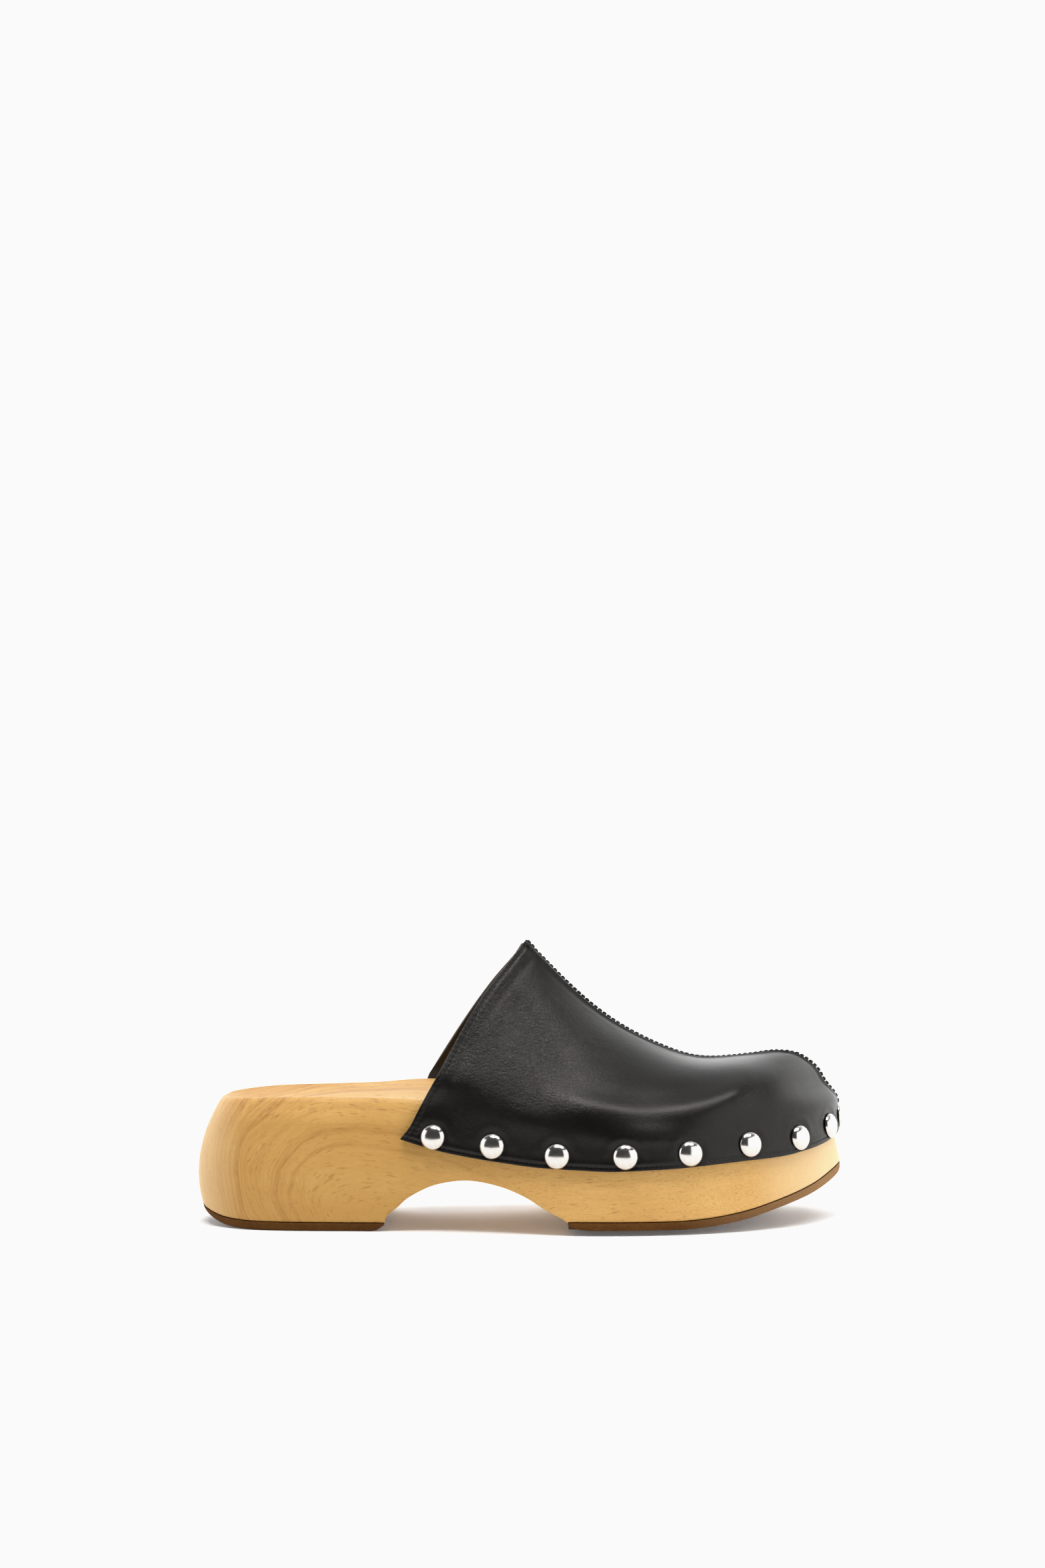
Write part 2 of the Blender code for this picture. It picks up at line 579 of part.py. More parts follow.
for side, word in ((LAT, "lateral"), (MED, "medial")):
    grid, n = leather_grid(side, NT, 41)
    ride = 0.3 + 0.25
    # along the opening, just inside its edge
    row = grid[0] + (grid[1] - grid[0]) * 0.24 + n[0] * (ride + 0.15)
    tube("topline_thread_" + word, row[2:-3], 0.25, THREAD)
    # along the lower edge, pressed down under each nail head's rim
    ts = np.linspace(0.012, 0.985, 78)
    row = []
    for t in ts:
        x = x_at(side, float(WALL_RUNS[side][0](t)))
        hem = float(hem_z(x))
        point = wall(side, x, hem + 1.3, STACK)
        rise = 1.3
        for sx, sz in STUDS:
            head = wall(side, sx, sz, STACK)
            along = np.hypot(*(point - head)[:2])
            if along < 6.0:
                rise = min(rise, sz - hem - math.sqrt(6.0**2 - along**2))
        row.append(wall(side, x, hem + max(rise, -0.9), STACK + ride))
    tube("edge_thread_" + word, row, 0.25, THREAD)

grids = [leather_grid(side, 61, 25)[0] for side in (LAT, MED)]
crown = (grids[0][:, -1] + grids[1][:, -1]) / 2
nose = (grids[0][-1, ::-1] + grids[1][-1, ::-1]) / 2
valley = np.vstack([crown[:-1], nose])
valley = valley[valley[:, 2] > 48.5]
valley = valley[1:] + np.array([0, 0, 0.2])
tube("centre_seam_thread", valley, 0.36, THREAD)


# ---------------------------------------------------------------------- nails
STUD_PROFILE = [
    (0.0, STUD_H + GAP), (1.6, STUD_H * 0.965 + GAP), (3.0, STUD_H * 0.83 + GAP),
    (4.1, STUD_H * 0.58 + GAP), (4.8, STUD_H * 0.27 + GAP), (5.0, GAP + 0.12), (4.9, GAP),
    (SHANK_R, GAP), (SHANK_R, -SHANK_L + 2.2), (0.0, -SHANK_L),
]


def stud(name, point, normal):
    mesh = bpy.data.meshes.new(name)
    mesh.from_pydata([(r * MM, 0, z * MM) for r, z in STUD_PROFILE], [(i, i + 1) for i in range(len(STUD_PROFILE) - 1)], [])
    mesh.materials.append(METAL)
    obj = bpy.data.objects.new(name, mesh)
    parts.objects.link(obj)
    turn = obj.modifiers.new("turned", "SCREW")
    turn.axis, turn.angle = "Z", 2 * math.pi
    turn.steps = turn.render_steps = 12
    turn.use_merge_vertices, turn.merge_threshold = True, 1e-5
    turn.use_smooth_shade = True
    turn.use_normal_calculate = True
    matrix = Vector(normal).to_track_quat("Z", "Y").to_matrix().to_4x4()
    obj.matrix_world = Matrix.Translation(Vector([float(c) * MM for c in point])) @ matrix
    return obj


def hole(name, point, normal):
    depth = SHANK_L + 4.0
    bpy.ops.mesh.primitive_cylinder_add(vertices=12, radius=HOLE_R * MM, depth=depth * MM)
    obj = bpy.context.object
    obj.name = name
    for c in list(obj.users_collection):
        c.objects.unlink(obj)
    cutters.objects.link(obj)
    matrix = Vector(normal).to_track_quat("Z", "Y").to_matrix().to_4x4()
    centre = np.asarray(point) + np.asarray(normal) * (3.0 - depth / 2)
    obj.matrix_world = Matrix.Translation(Vector([float(c) * MM for c in centre])) @ matrix
    return obj


places = []
for side in (LAT, MED):
    for x, z in STUDS:
        places.append((wall(side, x, z, STACK + 0.15), wall_normal(side, x, z), side))
places.append((wall(LAT, TOE_TIP, TOE_STUD_Z, STACK + 0.15), wall_normal(LAT, TOE_TIP, TOE_STUD_Z), 2))
for number, (point, normal, side) in enumerate(places, 1):
    stud(f"stud_{number:02d}", point, normal)
    drill = hole(f"hole_{number:02d}", point, normal)
    cut(sole, drill)
    for half in halves:
        if side == 2 or (side == LAT) == half.name.endswith("lateral"):
            cut(half, drill)


# the frame's origin lies under the middle of the box
for obj in [*parts.objects, *cutters.objects]:
    obj.location -= Vector([float(c) * MM for c in ORIGIN])
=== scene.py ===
"""The looks of a wooden clog: a carved wooden sole, two rubber treads, a black
leather upper in two sewn halves with linings, threads and dome-headed nails,
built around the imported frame. Lengths in the helpers are millimetres."""

import math

import bmesh
import bpy
import numpy as np
from mathutils import Matrix, Vector, noise


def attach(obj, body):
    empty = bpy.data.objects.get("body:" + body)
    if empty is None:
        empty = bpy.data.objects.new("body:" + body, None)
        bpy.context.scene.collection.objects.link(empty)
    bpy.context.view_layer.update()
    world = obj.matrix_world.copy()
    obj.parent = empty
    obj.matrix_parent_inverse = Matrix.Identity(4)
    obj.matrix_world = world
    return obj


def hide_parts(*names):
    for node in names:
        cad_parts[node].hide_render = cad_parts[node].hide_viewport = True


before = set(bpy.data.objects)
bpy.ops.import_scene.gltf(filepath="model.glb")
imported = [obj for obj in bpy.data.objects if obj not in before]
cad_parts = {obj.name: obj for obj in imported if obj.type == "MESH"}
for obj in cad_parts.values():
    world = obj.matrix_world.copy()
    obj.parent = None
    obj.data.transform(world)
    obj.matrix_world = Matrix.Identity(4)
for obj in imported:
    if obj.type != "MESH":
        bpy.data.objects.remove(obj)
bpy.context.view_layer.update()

MM = 0.001
LAT, MED = 0, 1

# ----------------------------------------------------------------- dimensions
ORIGIN = np.array([0.2, 0.6, 0.0])  # moved to the frame's origin at the end
GAP = 0.3              # clearance kept between touching pieces
OUTER_T = 1.1          # outer leather
LINING_T = 0.7         # lining leather
LAYER_GAP = 0.42
STACK = 0.58 + LINING_T + LAYER_GAP + OUTER_T
SEAM_HALF = 0.75       # half the width of the sewn valley at the centre seam
STUD_R, STUD_H = 5.0, 2.3
SHANK_R, SHANK_L = 0.9, 12.0
HOLE_R = SHANK_R + GAP
TREAD_SPLIT_HEEL, TREAD_SPLIT_FORE = -55.0, 18.0

# plan outline of the wood where it is widest, heel tip round the outer side to
# the toe and back along the inner side
OUTLINE = [
    (-131, 0), (-128.6, -13), (-120, -24), (-105, -31), (-85, -33.5), (-60, -34.5),
    (-40, -36), (-20, -39.5), (0, -43), (20, -45.5), (40, -45.8), (60, -43),
    (80, -36.5), (100, -25), (112, -14), (120.5, -1.5), (126.3, 15), (122.5, 29),
    (112, 39), (95, 44.5), (75, 47), (55, 46.5), (35, 43.5), (15, 38.5), (-5, 34),
    (-25, 31.5), (-45, 31), (-65, 32), (-85, 33), (-105, 31), (-120, 24), (-128.6, 13),
]
# height of the footbed's edge along the outer and the inner side
EDGE_X = [-131, -120, -100, -80, -60, -40, -20, 0, 20, 40, 60, 80, 100, 115, 127]
EDGE_Z = [
    [51, 51.3, 52.3, 52.5, 52.4, 51.7, 49.5, 45.5, 41.5, 38.8, 38.5, 40, 42.6, 46, 48],
    [51, 51.3, 52.3, 52.8, 53.5, 54.9, 53.5, 49, 43.5, 39.5, 38.8, 40, 42.6, 46, 48],
]
DISH_X, DISH_Z = [-131, -118, -100, -60, 0, 60, 100, 127], [0, 2.4, 3.2, 2.2, 1.4, 1.6, 1.2, 0]
# underside of the wood on its middle line, and the tread's walking face
FACE_X = [-131, -128, -118, -105, -54, 60, 72, 84.6, 101, 115, 123, 130.5]
FACE_Z = [7.6, 6.4, 4.2, 3.5, 3.4, 3.4, 4.1, 5.8, 10.2, 15.4, 19.8, 24.6]
WALK_X = [-131, -128, -122, -115, -105, -60, -57, -55, 18, 21, 27, 62, 72, 84.6, 101, 115, 125, 130.5]
WALK_Z = [4.4, 3.2, 1.3, 0.4, 0, 0, 0.7, 2.4, 2.0, 0.6, 0, 0, 0.6, 2.3, 6.7, 11.3, 16.4, 20.6]
LIFT_X, LIFT_Z = [0, 18, 80, 101, 115, 123, 130.5], [0, 2, 2, 1.6, 1.1, 0.6, 0]
# profile of the arch under the waist
ARCH = [
    (-54.3, 2.0), (-54.3, 4.9), (-52.5, 7), (-49.3, 9.6), (-46.2, 12.5), (-43, 14.6),
    (-36.7, 17.8), (-30.4, 19.6), (-21, 20.6), (-14.7, 19.9), (-8.4, 18.5),
    (-2.1, 16.2), (4.2, 13), (10.5, 9.1), (16.8, 5.7), (17.8, 4.9), (17.8, 2.0),
]
# leather's lower edge along the outline
HEM_X = [-48, -33.5, -21, -8, 7, 20, 35, 48, 60, 73, 86, 100, 113, 120, 124, 127]
HEM_Z = [37.0, 32.9, 30.6, 28.8, 27.1, 26.4, 25.8, 26.2, 26.7, 27.7, 28.6, 29.3, 31.2, 32.8, 34.4, 36.9]
SEAM_X = [1, 20, 40, 60, 80, 100, 112, 125, 130]
SEAM_Y = [0, 0.5, 1.5, 3, 6, 9.5, 12, 14, 15]
# stations of the upper, from the opening to the toe: where each starts on the
# lower edge, then shoulder, ledge, middle, near the seam, seam
STATIONS = [
    (-47.7, -44.0, -39.4, [(-36.2, -36.9, 56.5), (-29.5, -32, 68.5), (-20.5, -23.5, 84.5), (-9.5, -12.5, 100), (3.2, 0, 114.6)]),
    (-25.0, -22.5, -18.0, [(-13.5, -39.3, 57), (-8.5, -34.8, 65.5), (-2.5, -27, 77), (5.5, -14, 91.5), (14.1, 0.3, 101.6)]),
    (0.0, 2.0, 5.0, [(8, -42.7, 52.5), (10.8, -38, 60), (15.2, -28.5, 71), (21.5, -14, 82.5), (28, 0.8, 88)]),
    (25.0, 26.0, 27.5, [(29.5, -45.5, 46.8), (31.3, -40.2, 54.2), (34.2, -29.5, 64), (38.5, -14.5, 73), (43, 1.6, 77.4)]),
    (48.0, 48.5, 49.0, [(49.5, -44.2, 43.4), (50.3, -38.6, 51.4), (52, -28.5, 60.3), (55, -14, 67), (58, 2.8, 70)]),
    (70.0, 70.3, 70.5, [(71, -40.2, 45), (71.5, -35.2, 52.2), (72, -25.5, 60), (72.5, -11, 64.6), (73, 4.9, 65.6)]),
    (90.0, 90.0, 89.5, [(89.3, -31.6, 49.5), (88.8, -27.2, 56.8), (88, -18.5, 62.6), (87, -5.5, 65.5), (86, 7.1, 65.9)]),
    (108.0, 107.6, 106.5, [(105, -20, 51.5), (103.3, -15.5, 58), (101.3, -9, 62.8), (99, -0.5, 66), (96, 8.8, 66.9)]),
    (120.0, 119.6, 118.4, [(116.4, -1.8, 53.6), (114.2, 0.8, 59.4), (111.4, 4, 63.8), (107.8, 7.6, 66.8), (103, 10.1, 67.8)]),
    (126.4, 126.4, 126.4, [(124.6, 14, 54.8), (121.4, 13.5, 60), (117.6, 13, 63.6), (113, 12.2, 66.4), (108.5, 11.2, 67.6)]),
]
# how much higher the inner half stands near the seam, one value a station
INNER_RISE = [0, 0, 0.6, 1.2, 2.0, 2.8, 1.8, 0.9, 0.3, 0]
# nails: place on the outline and height, the last one on the centre seam
STUDS = [(-35.0, 37.8), (-11.5, 34.8), (13.8, 31.4), (39.9, 31.2), (64.8, 32.1), (88.2, 34.6), (108.3, 35.6), (121.6, 38.3)]
TOE_STUD_Z = 40.7


# ---------------------------------------------------------------- small maths
def spline(knots, values):
    """Natural cubic spline through the rows of values."""
    t, y = np.asarray(knots, float), np.asarray(values, float)
    n, h = len(t), np.diff(np.asarray(knots, float))
    a, b = np.eye(n), np.zeros_like(y)
    for i in range(1, n - 1):
        a[i, i - 1 : i + 2] = h[i - 1], 2 * (h[i - 1] + h[i]), h[i]
        b[i] = 6 * ((y[i + 1] - y[i]) / h[i] - (y[i] - y[i - 1]) / h[i - 1])
    m = np.linalg.solve(a, b)

    def at(x):
        x = np.asarray(x, float)
        i = np.clip(np.searchsorted(t, x) - 1, 0, n - 2)
        w = (x - t[i]) / h[i]
        hh = h[i]
        if y.ndim > 1:
            w, hh = w[..., None], hh[..., None]
        return (1 - w) * y[i] + w * y[i + 1] + hh * hh / 6 * (
            ((1 - w) ** 3 - (1 - w)) * m[i] + (w**3 - w) * m[i + 1]
        )

    return at


def pchip(xs, ys):
    """Shape-keeping cubic through the points, level past the ends."""
    xs, ys = np.asarray(xs, float), np.asarray(ys, float)
    h, d = np.diff(xs), np.diff(ys) / np.diff(xs)
    m = np.zeros(len(xs))
    for i in range(1, len(xs) - 1):
        if d[i - 1] * d[i] > 0:
            w1, w2 = 2 * h[i] + h[i - 1], h[i] + 2 * h[i - 1]
            m[i] = (w1 + w2) / (w1 / d[i - 1] + w2 / d[i])
    m[0], m[-1] = d[0], d[-1]

    def at(x):
        x = np.clip(np.asarray(x, float), xs[0], xs[-1])
        i = np.clip(np.searchsorted(xs, x) - 1, 0, len(xs) - 2)
        w = (x - xs[i]) / h[i]
        return (
            (2 * w**3 - 3 * w**2 + 1) * ys[i]
            + (w**3 - 2 * w**2 + w) * h[i] * m[i]
            + (3 * w**2 - 2 * w**3) * ys[i + 1]
            + (w**3 - w**2) * h[i] * m[i + 1]
        )

    return at


def smooth(x, lo, hi):
    w = np.clip((x - lo) / (hi - lo), 0, 1)
    return w * w * (3 - 2 * w)


# ------------------------------------------------------------- wood's outline
def outline_halves():
    p = np.array(OUTLINE, float)
    wrap = np.vstack([p[-4:], p, p[:5]])
    chord = np.concatenate([[0], np.cumsum(np.linalg.norm(np.diff(wrap, axis=0), axis=1))])
    curve = spline(chord, wrap)
    t = np.linspace(chord[4], chord[-5], 6001)[:-1]
    q = curve(t)
    d = np.roll(q, -1, axis=0) - np.roll(q, 1, axis=0)
    d /= np.linalg.norm(d, axis=1)[:, None]
    normal = np.stack([d[:, 1], -d[:, 0]], axis=1)
    heel, toe = int(q[:, 0].argmin()), int(q[:, 0].argmax())
    order = (np.arange(len(q)) + heel) % len(q)
    toe = (toe - heel) % len(q)
    table = np.hstack([q, normal])[order]
    table = np.vstack([table, table[:1]])
    return table[: toe + 1], table[toe:][::-1]


HALF = outline_halves()
HEEL_TIP, TOE_TIP = HALF[0][0, 0], HALF[0][-1, 0]
edge_z = [pchip(EDGE_X, z) for z in EDGE_Z]
dish_z, face_z, walk_z = pchip(DISH_X, DISH_Z), pchip(FACE_X, FACE_Z), pchip(WALK_X, WALK_Z)
lift_z, hem_z, seam_y = pchip(LIFT_X, LIFT_Z), pchip(HEM_X, HEM_Z), pchip(SEAM_X, SEAM_Y)


def at_outline(side, x):
    table = HALF[side]
    row = np.array([np.interp(x, table[:, 0], table[:, k]) for k in range(4)])
    row[2:] /= np.hypot(row[2], row[3])
    return row


RUN = [np.concatenate([[0], np.cumsum(np.linalg.norm(np.diff(h[:, :2], axis=0), axis=1))]) for h in HALF]


def run_at(side, x):
    """Distance along the outline from the heel tip."""
    return float(np.interp(x, HALF[side][:, 0], RUN[side]))


def x_at(side, run):
    return float(np.interp(run, RUN[side], HALF[side][:, 0]))


def wall(side, x, z, out=0.0):
    """The wood's side at a place on the outline and a height, moved outwards."""
    px, py, nx, ny = at_outline(side, x)
    back, front = max(0.0, -nx) ** 2, max(0.0, nx) ** 2
    fore = smooth(px, -45, 15)
    base = 4.0 - 1.0 * smooth(px, -90, -45)
    if z > 20:
        heel = -(base + (10 - base) * back) * ((z - 20) / 31) ** 2
    else:
        heel = -(1.0 + 4.0 * back) * ((20 - z) / 20) ** 2
    reach = np.clip((42 - z) / (20 - 4 * front), 0, 1.15)
    toe = (1.5 + 1.5 * front) * reach**1.3
    d = (1 - fore) * heel + fore * toe + out
    return np.array([px + nx * d, py + ny * d, z])


def wall_normal(side, x, z):
    across = at_outline(side, x)[2:]
    up = wall(side, x, z + 1) - wall(side, x, z - 1)
    along = np.array([-across[1], across[0], 0])
    n = np.cross(along, up)
    n /= np.linalg.norm(n)
    return n if n[0] * across[0] + n[1] * across[1] > 0 else -n


# ------------------------------------------------------------ leather surfaces
def station_rows(side):
    """Control rows above the wall: one array a station, five points each."""
    rows = []
    for (xh, _, _, pts), rise in zip(STATIONS, INNER_RISE):
        pts = np.array(pts, float)
        if side == MED:
            for i, p in enumerate(pts):
                ys = float(seam_y(p[0]))
                if xh >= TOE_TIP - 0.01 or i == len(pts) - 1:
                    p[1] = ys
                    continue
                x = min(p[0], 118.0)
                z = 44.0
                inner, outer = wall(MED, x, z)[1] - ys, ys - wall(LAT, x, z)[1]
                p[1] = ys + (ys - p[1]) * inner / outer
                p[2] += rise * (0.25, 0.45, 0.75, 1.0)[i]
                fall = float(smooth(xh, 5, 40) * (1 - smooth(xh, 85, 112)))
                p[2] -= fall * (0.0, 0.8, 2.0, 2.3)[i]
                if xh < -40:
                    p[0] -= (1.9, 1.7, 0.3, 0.0)[i]
        rows.append(pts)
    return np.array(rows)


ROWS = [station_rows(LAT), station_rows(MED)]
KNOTS = np.concatenate([[0], np.cumsum(np.linalg.norm(np.diff(ROWS[0].mean(axis=1), axis=0), axis=1) * 0.5
    + 0.5 * np.abs(np.diff([s[0] for s in STATIONS])))])
KNOTS = KNOTS / KNOTS[-1]
upper_rows = [spline(KNOTS, r.reshape(len(r), -1)) for r in ROWS]
WALL_RUNS = [
    [pchip(KNOTS, [run_at(side, s[k]) for s in STATIONS]) for k in range(3)] for side in (LAT, MED)
]


def strip(side, t, out, hem_up=0.0):
    """One station of the leather as a curve in v, lower edge to seam."""
    xf, xs, xb = (x_at(side, float(run(t))) for run in WALL_RUNS[side])
    hem = float(hem_z(xf)) + hem_up
    zs = float(hem_z(xs)) + 5.7
    zb = float(edge_z[side](xb)) - 1.0
    xm, zm = (xs + xb) / 2, (zs + zb) / 2
    low = [wall(side, x, z, out) for x, z in ((xf, hem), (xs, zs), (xm, zm), (xb, zb))]
    pts = np.vstack([low, upper_rows[side](t).reshape(-1, 3)])
    return pts


# ------------------------------------------------------------------- meshing
def piece(name, verts, faces, mat, replaces=(), body="root"):
    """A smooth-shaded mesh that rides on the clog's body; points in millimetres."""
    verts = (np.asarray(verts, float) - ORIGIN) * MM
    mesh = bpy.data.meshes.new(name)
    mesh.from_pydata(verts.tolist(), [], faces)
    mesh.update()
    bm = bmesh.new()
    bm.from_mesh(mesh)
    bmesh.ops.remove_doubles(bm, verts=bm.verts, dist=2e-7)
    bmesh.ops.recalc_face_normals(bm, faces=bm.faces)
    if bm.calc_volume(signed=True) < 0:
        bmesh.ops.reverse_faces(bm, faces=bm.faces)
    bm.to_mesh(mesh)
    bm.free()
    mesh.polygons.foreach_set("use_smooth", [True] * len(mesh.polygons))
    mesh.materials.append(mat)
    obj = bpy.data.objects.new(name, mesh)
    bpy.context.scene.collection.objects.link(obj)
    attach(obj, body)
    if replaces:
        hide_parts(*replaces)
    return obj


def grid_faces(rows, cols, start=0):
    i, j = np.meshgrid(np.arange(rows - 1), np.arange(cols - 1), indexing="ij")
    a = start + i * cols + j
    return np.stack([a, a + cols, a + cols + 1, a + 1], axis=-1).reshape(-1, 4).tolist()


def hash_noise(points, scale, seed=0.0, octaves=2):
    """Smooth noise at each point, about -1 to 1."""
    out = np.empty(len(points))
    for k, p in enumerate(points * scale + seed):
        v = Vector(p)
        out[k] = noise.noise(v) + (0.5 * noise.noise(v * 2.1) if octaves > 1 else 0.0)
    return out


# ------------------------------------------------------------ node materials
class Nodes:
    """Short helper for procedural node trees in object space, in millimetres."""

    def __init__(self, name):
        self.mat = bpy.data.materials.new(name)
        self.mat.use_nodes = True
        self.tree = self.mat.node_tree
        self.bsdf = self.tree.nodes["Principled BSDF"]
        coord = self.tree.nodes.new("ShaderNodeTexCoord")
        scale = self.tree.nodes.new("ShaderNodeVectorMath")
        scale.operation = "SCALE"
        scale.inputs["Scale"].default_value = 1000.0
        self.link(coord.outputs["Object"], scale.inputs[0])
        self.mm = scale.outputs[0]
        split = self.tree.nodes.new("ShaderNodeSeparateXYZ")
        self.link(self.mm, split.inputs[0])
        self.x, self.y, self.z = split.outputs

    def link(self, a, b):
        self.tree.links.new(a, b)

    def feed(self, value, socket):
        if hasattr(value, "links") or isinstance(value, bpy.types.NodeSocket):
            self.link(value, socket)
        else:
            socket.default_value = value

    def math(self, op, a, b=0.0, c=None, clamp=False):
        node = self.tree.nodes.new("ShaderNodeMath")
        node.operation = op
        node.use_clamp = clamp
        self.feed(a, node.inputs[0])
        self.feed(b, node.inputs[1])
        if c is not None:
            self.feed(c, node.inputs[2])
        return node.outputs[0]

    def vec(self, x, y, z):
        node = self.tree.nodes.new("ShaderNodeCombineXYZ")
        for v, s in zip((x, y, z), node.inputs):
            self.feed(v, s)
        return node.outputs[0]

    def noise(self, vector, scale, detail=2.0, rough=0.5, distort=0.0, out="Fac"):
        node = self.tree.nodes.new("ShaderNodeTexNoise")
        self.link(vector, node.inputs["Vector"])
        node.inputs["Scale"].default_value = scale
        node.inputs["Detail"].default_value = detail
        node.inputs["Roughness"].default_value = rough
        node.inputs["Distortion"].default_value = distort
        return node.outputs[out]

    def voronoi(self, vector, scale, feature="F1", out="Distance", smooth=None, random=1.0):
        node = self.tree.nodes.new("ShaderNodeTexVoronoi")
        node.feature = feature
        self.link(vector, node.inputs["Vector"])
        node.inputs["Scale"].default_value = scale
        node.inputs["Randomness"].default_value = random
        if smooth is not None:
            node.inputs["Smoothness"].default_value = smooth
        return node.outputs[out]

    def ramp(self, fac, stops, mode="LINEAR"):
        node = self.tree.nodes.new("ShaderNodeValToRGB")
        node.color_ramp.interpolation = mode
        elements = node.color_ramp.elements
        while len(elements) < len(stops):
            elements.new(0.5)
        for e, (at, colour) in zip(elements, stops):
            e.position = at
            e.color = (*colour, 1) if len(colour) == 3 else colour
        self.link(fac, node.inputs[0])
        return node.outputs[0]

    def mix(self, fac, a, b, mode="MIX"):
        node = self.tree.nodes.new("ShaderNodeMix")
        node.data_type = "RGBA"
        node.blend_type = mode
        self.feed(fac, node.inputs[0])
        for value, s in ((a, node.inputs[6]), (b, node.inputs[7])):
            if isinstance(value, (tuple, list)):
                s.default_value = (*value, 1)
            else:
                self.link(value, s)
        return node.outputs[2]

    def remap(self, value, lo, hi, out_lo=0.0, out_hi=1.0, clamp=True):
        node = self.tree.nodes.new("ShaderNodeMapRange")
        node.clamp = clamp
        self.feed(value, node.inputs[0])
        for k, v in zip((1, 2, 3, 4), (lo, hi, out_lo, out_hi)):
            node.inputs[k].default_value = v
        return node.outputs[0]

    def bump(self, height, strength, distance_mm, normal=None):
        node = self.tree.nodes.new("ShaderNodeBump")
        node.inputs["Strength"].default_value = strength
        node.inputs["Distance"].default_value = distance_mm * MM
        self.link(height, node.inputs["Height"])
        if normal is not None:
            self.link(normal, node.inputs["Normal"])
        return node.outputs[0]

    def attribute(self, name):
        node = self.tree.nodes.new("ShaderNodeAttribute")
        node.attribute_name = name
        return node.outputs["Fac"]

    def done(self, colour, rough, normal=None, **fixed):
        self.feed(colour, self.bsdf.inputs["Base Color"])
        self.feed(rough, self.bsdf.inputs["Roughness"])
        if normal is not None:
            self.link(normal, self.bsdf.inputs["Normal"])
        for key, value in fixed.items():
            self.bsdf.inputs[key.replace("_", " ")].default_value = value
        return self.mat


def lin(r, g, b):
    return tuple(v / 255 / 12.92 if v <= 10 else ((v / 255 + 0.055) / 1.055) ** 2.4 for v in (r, g, b))


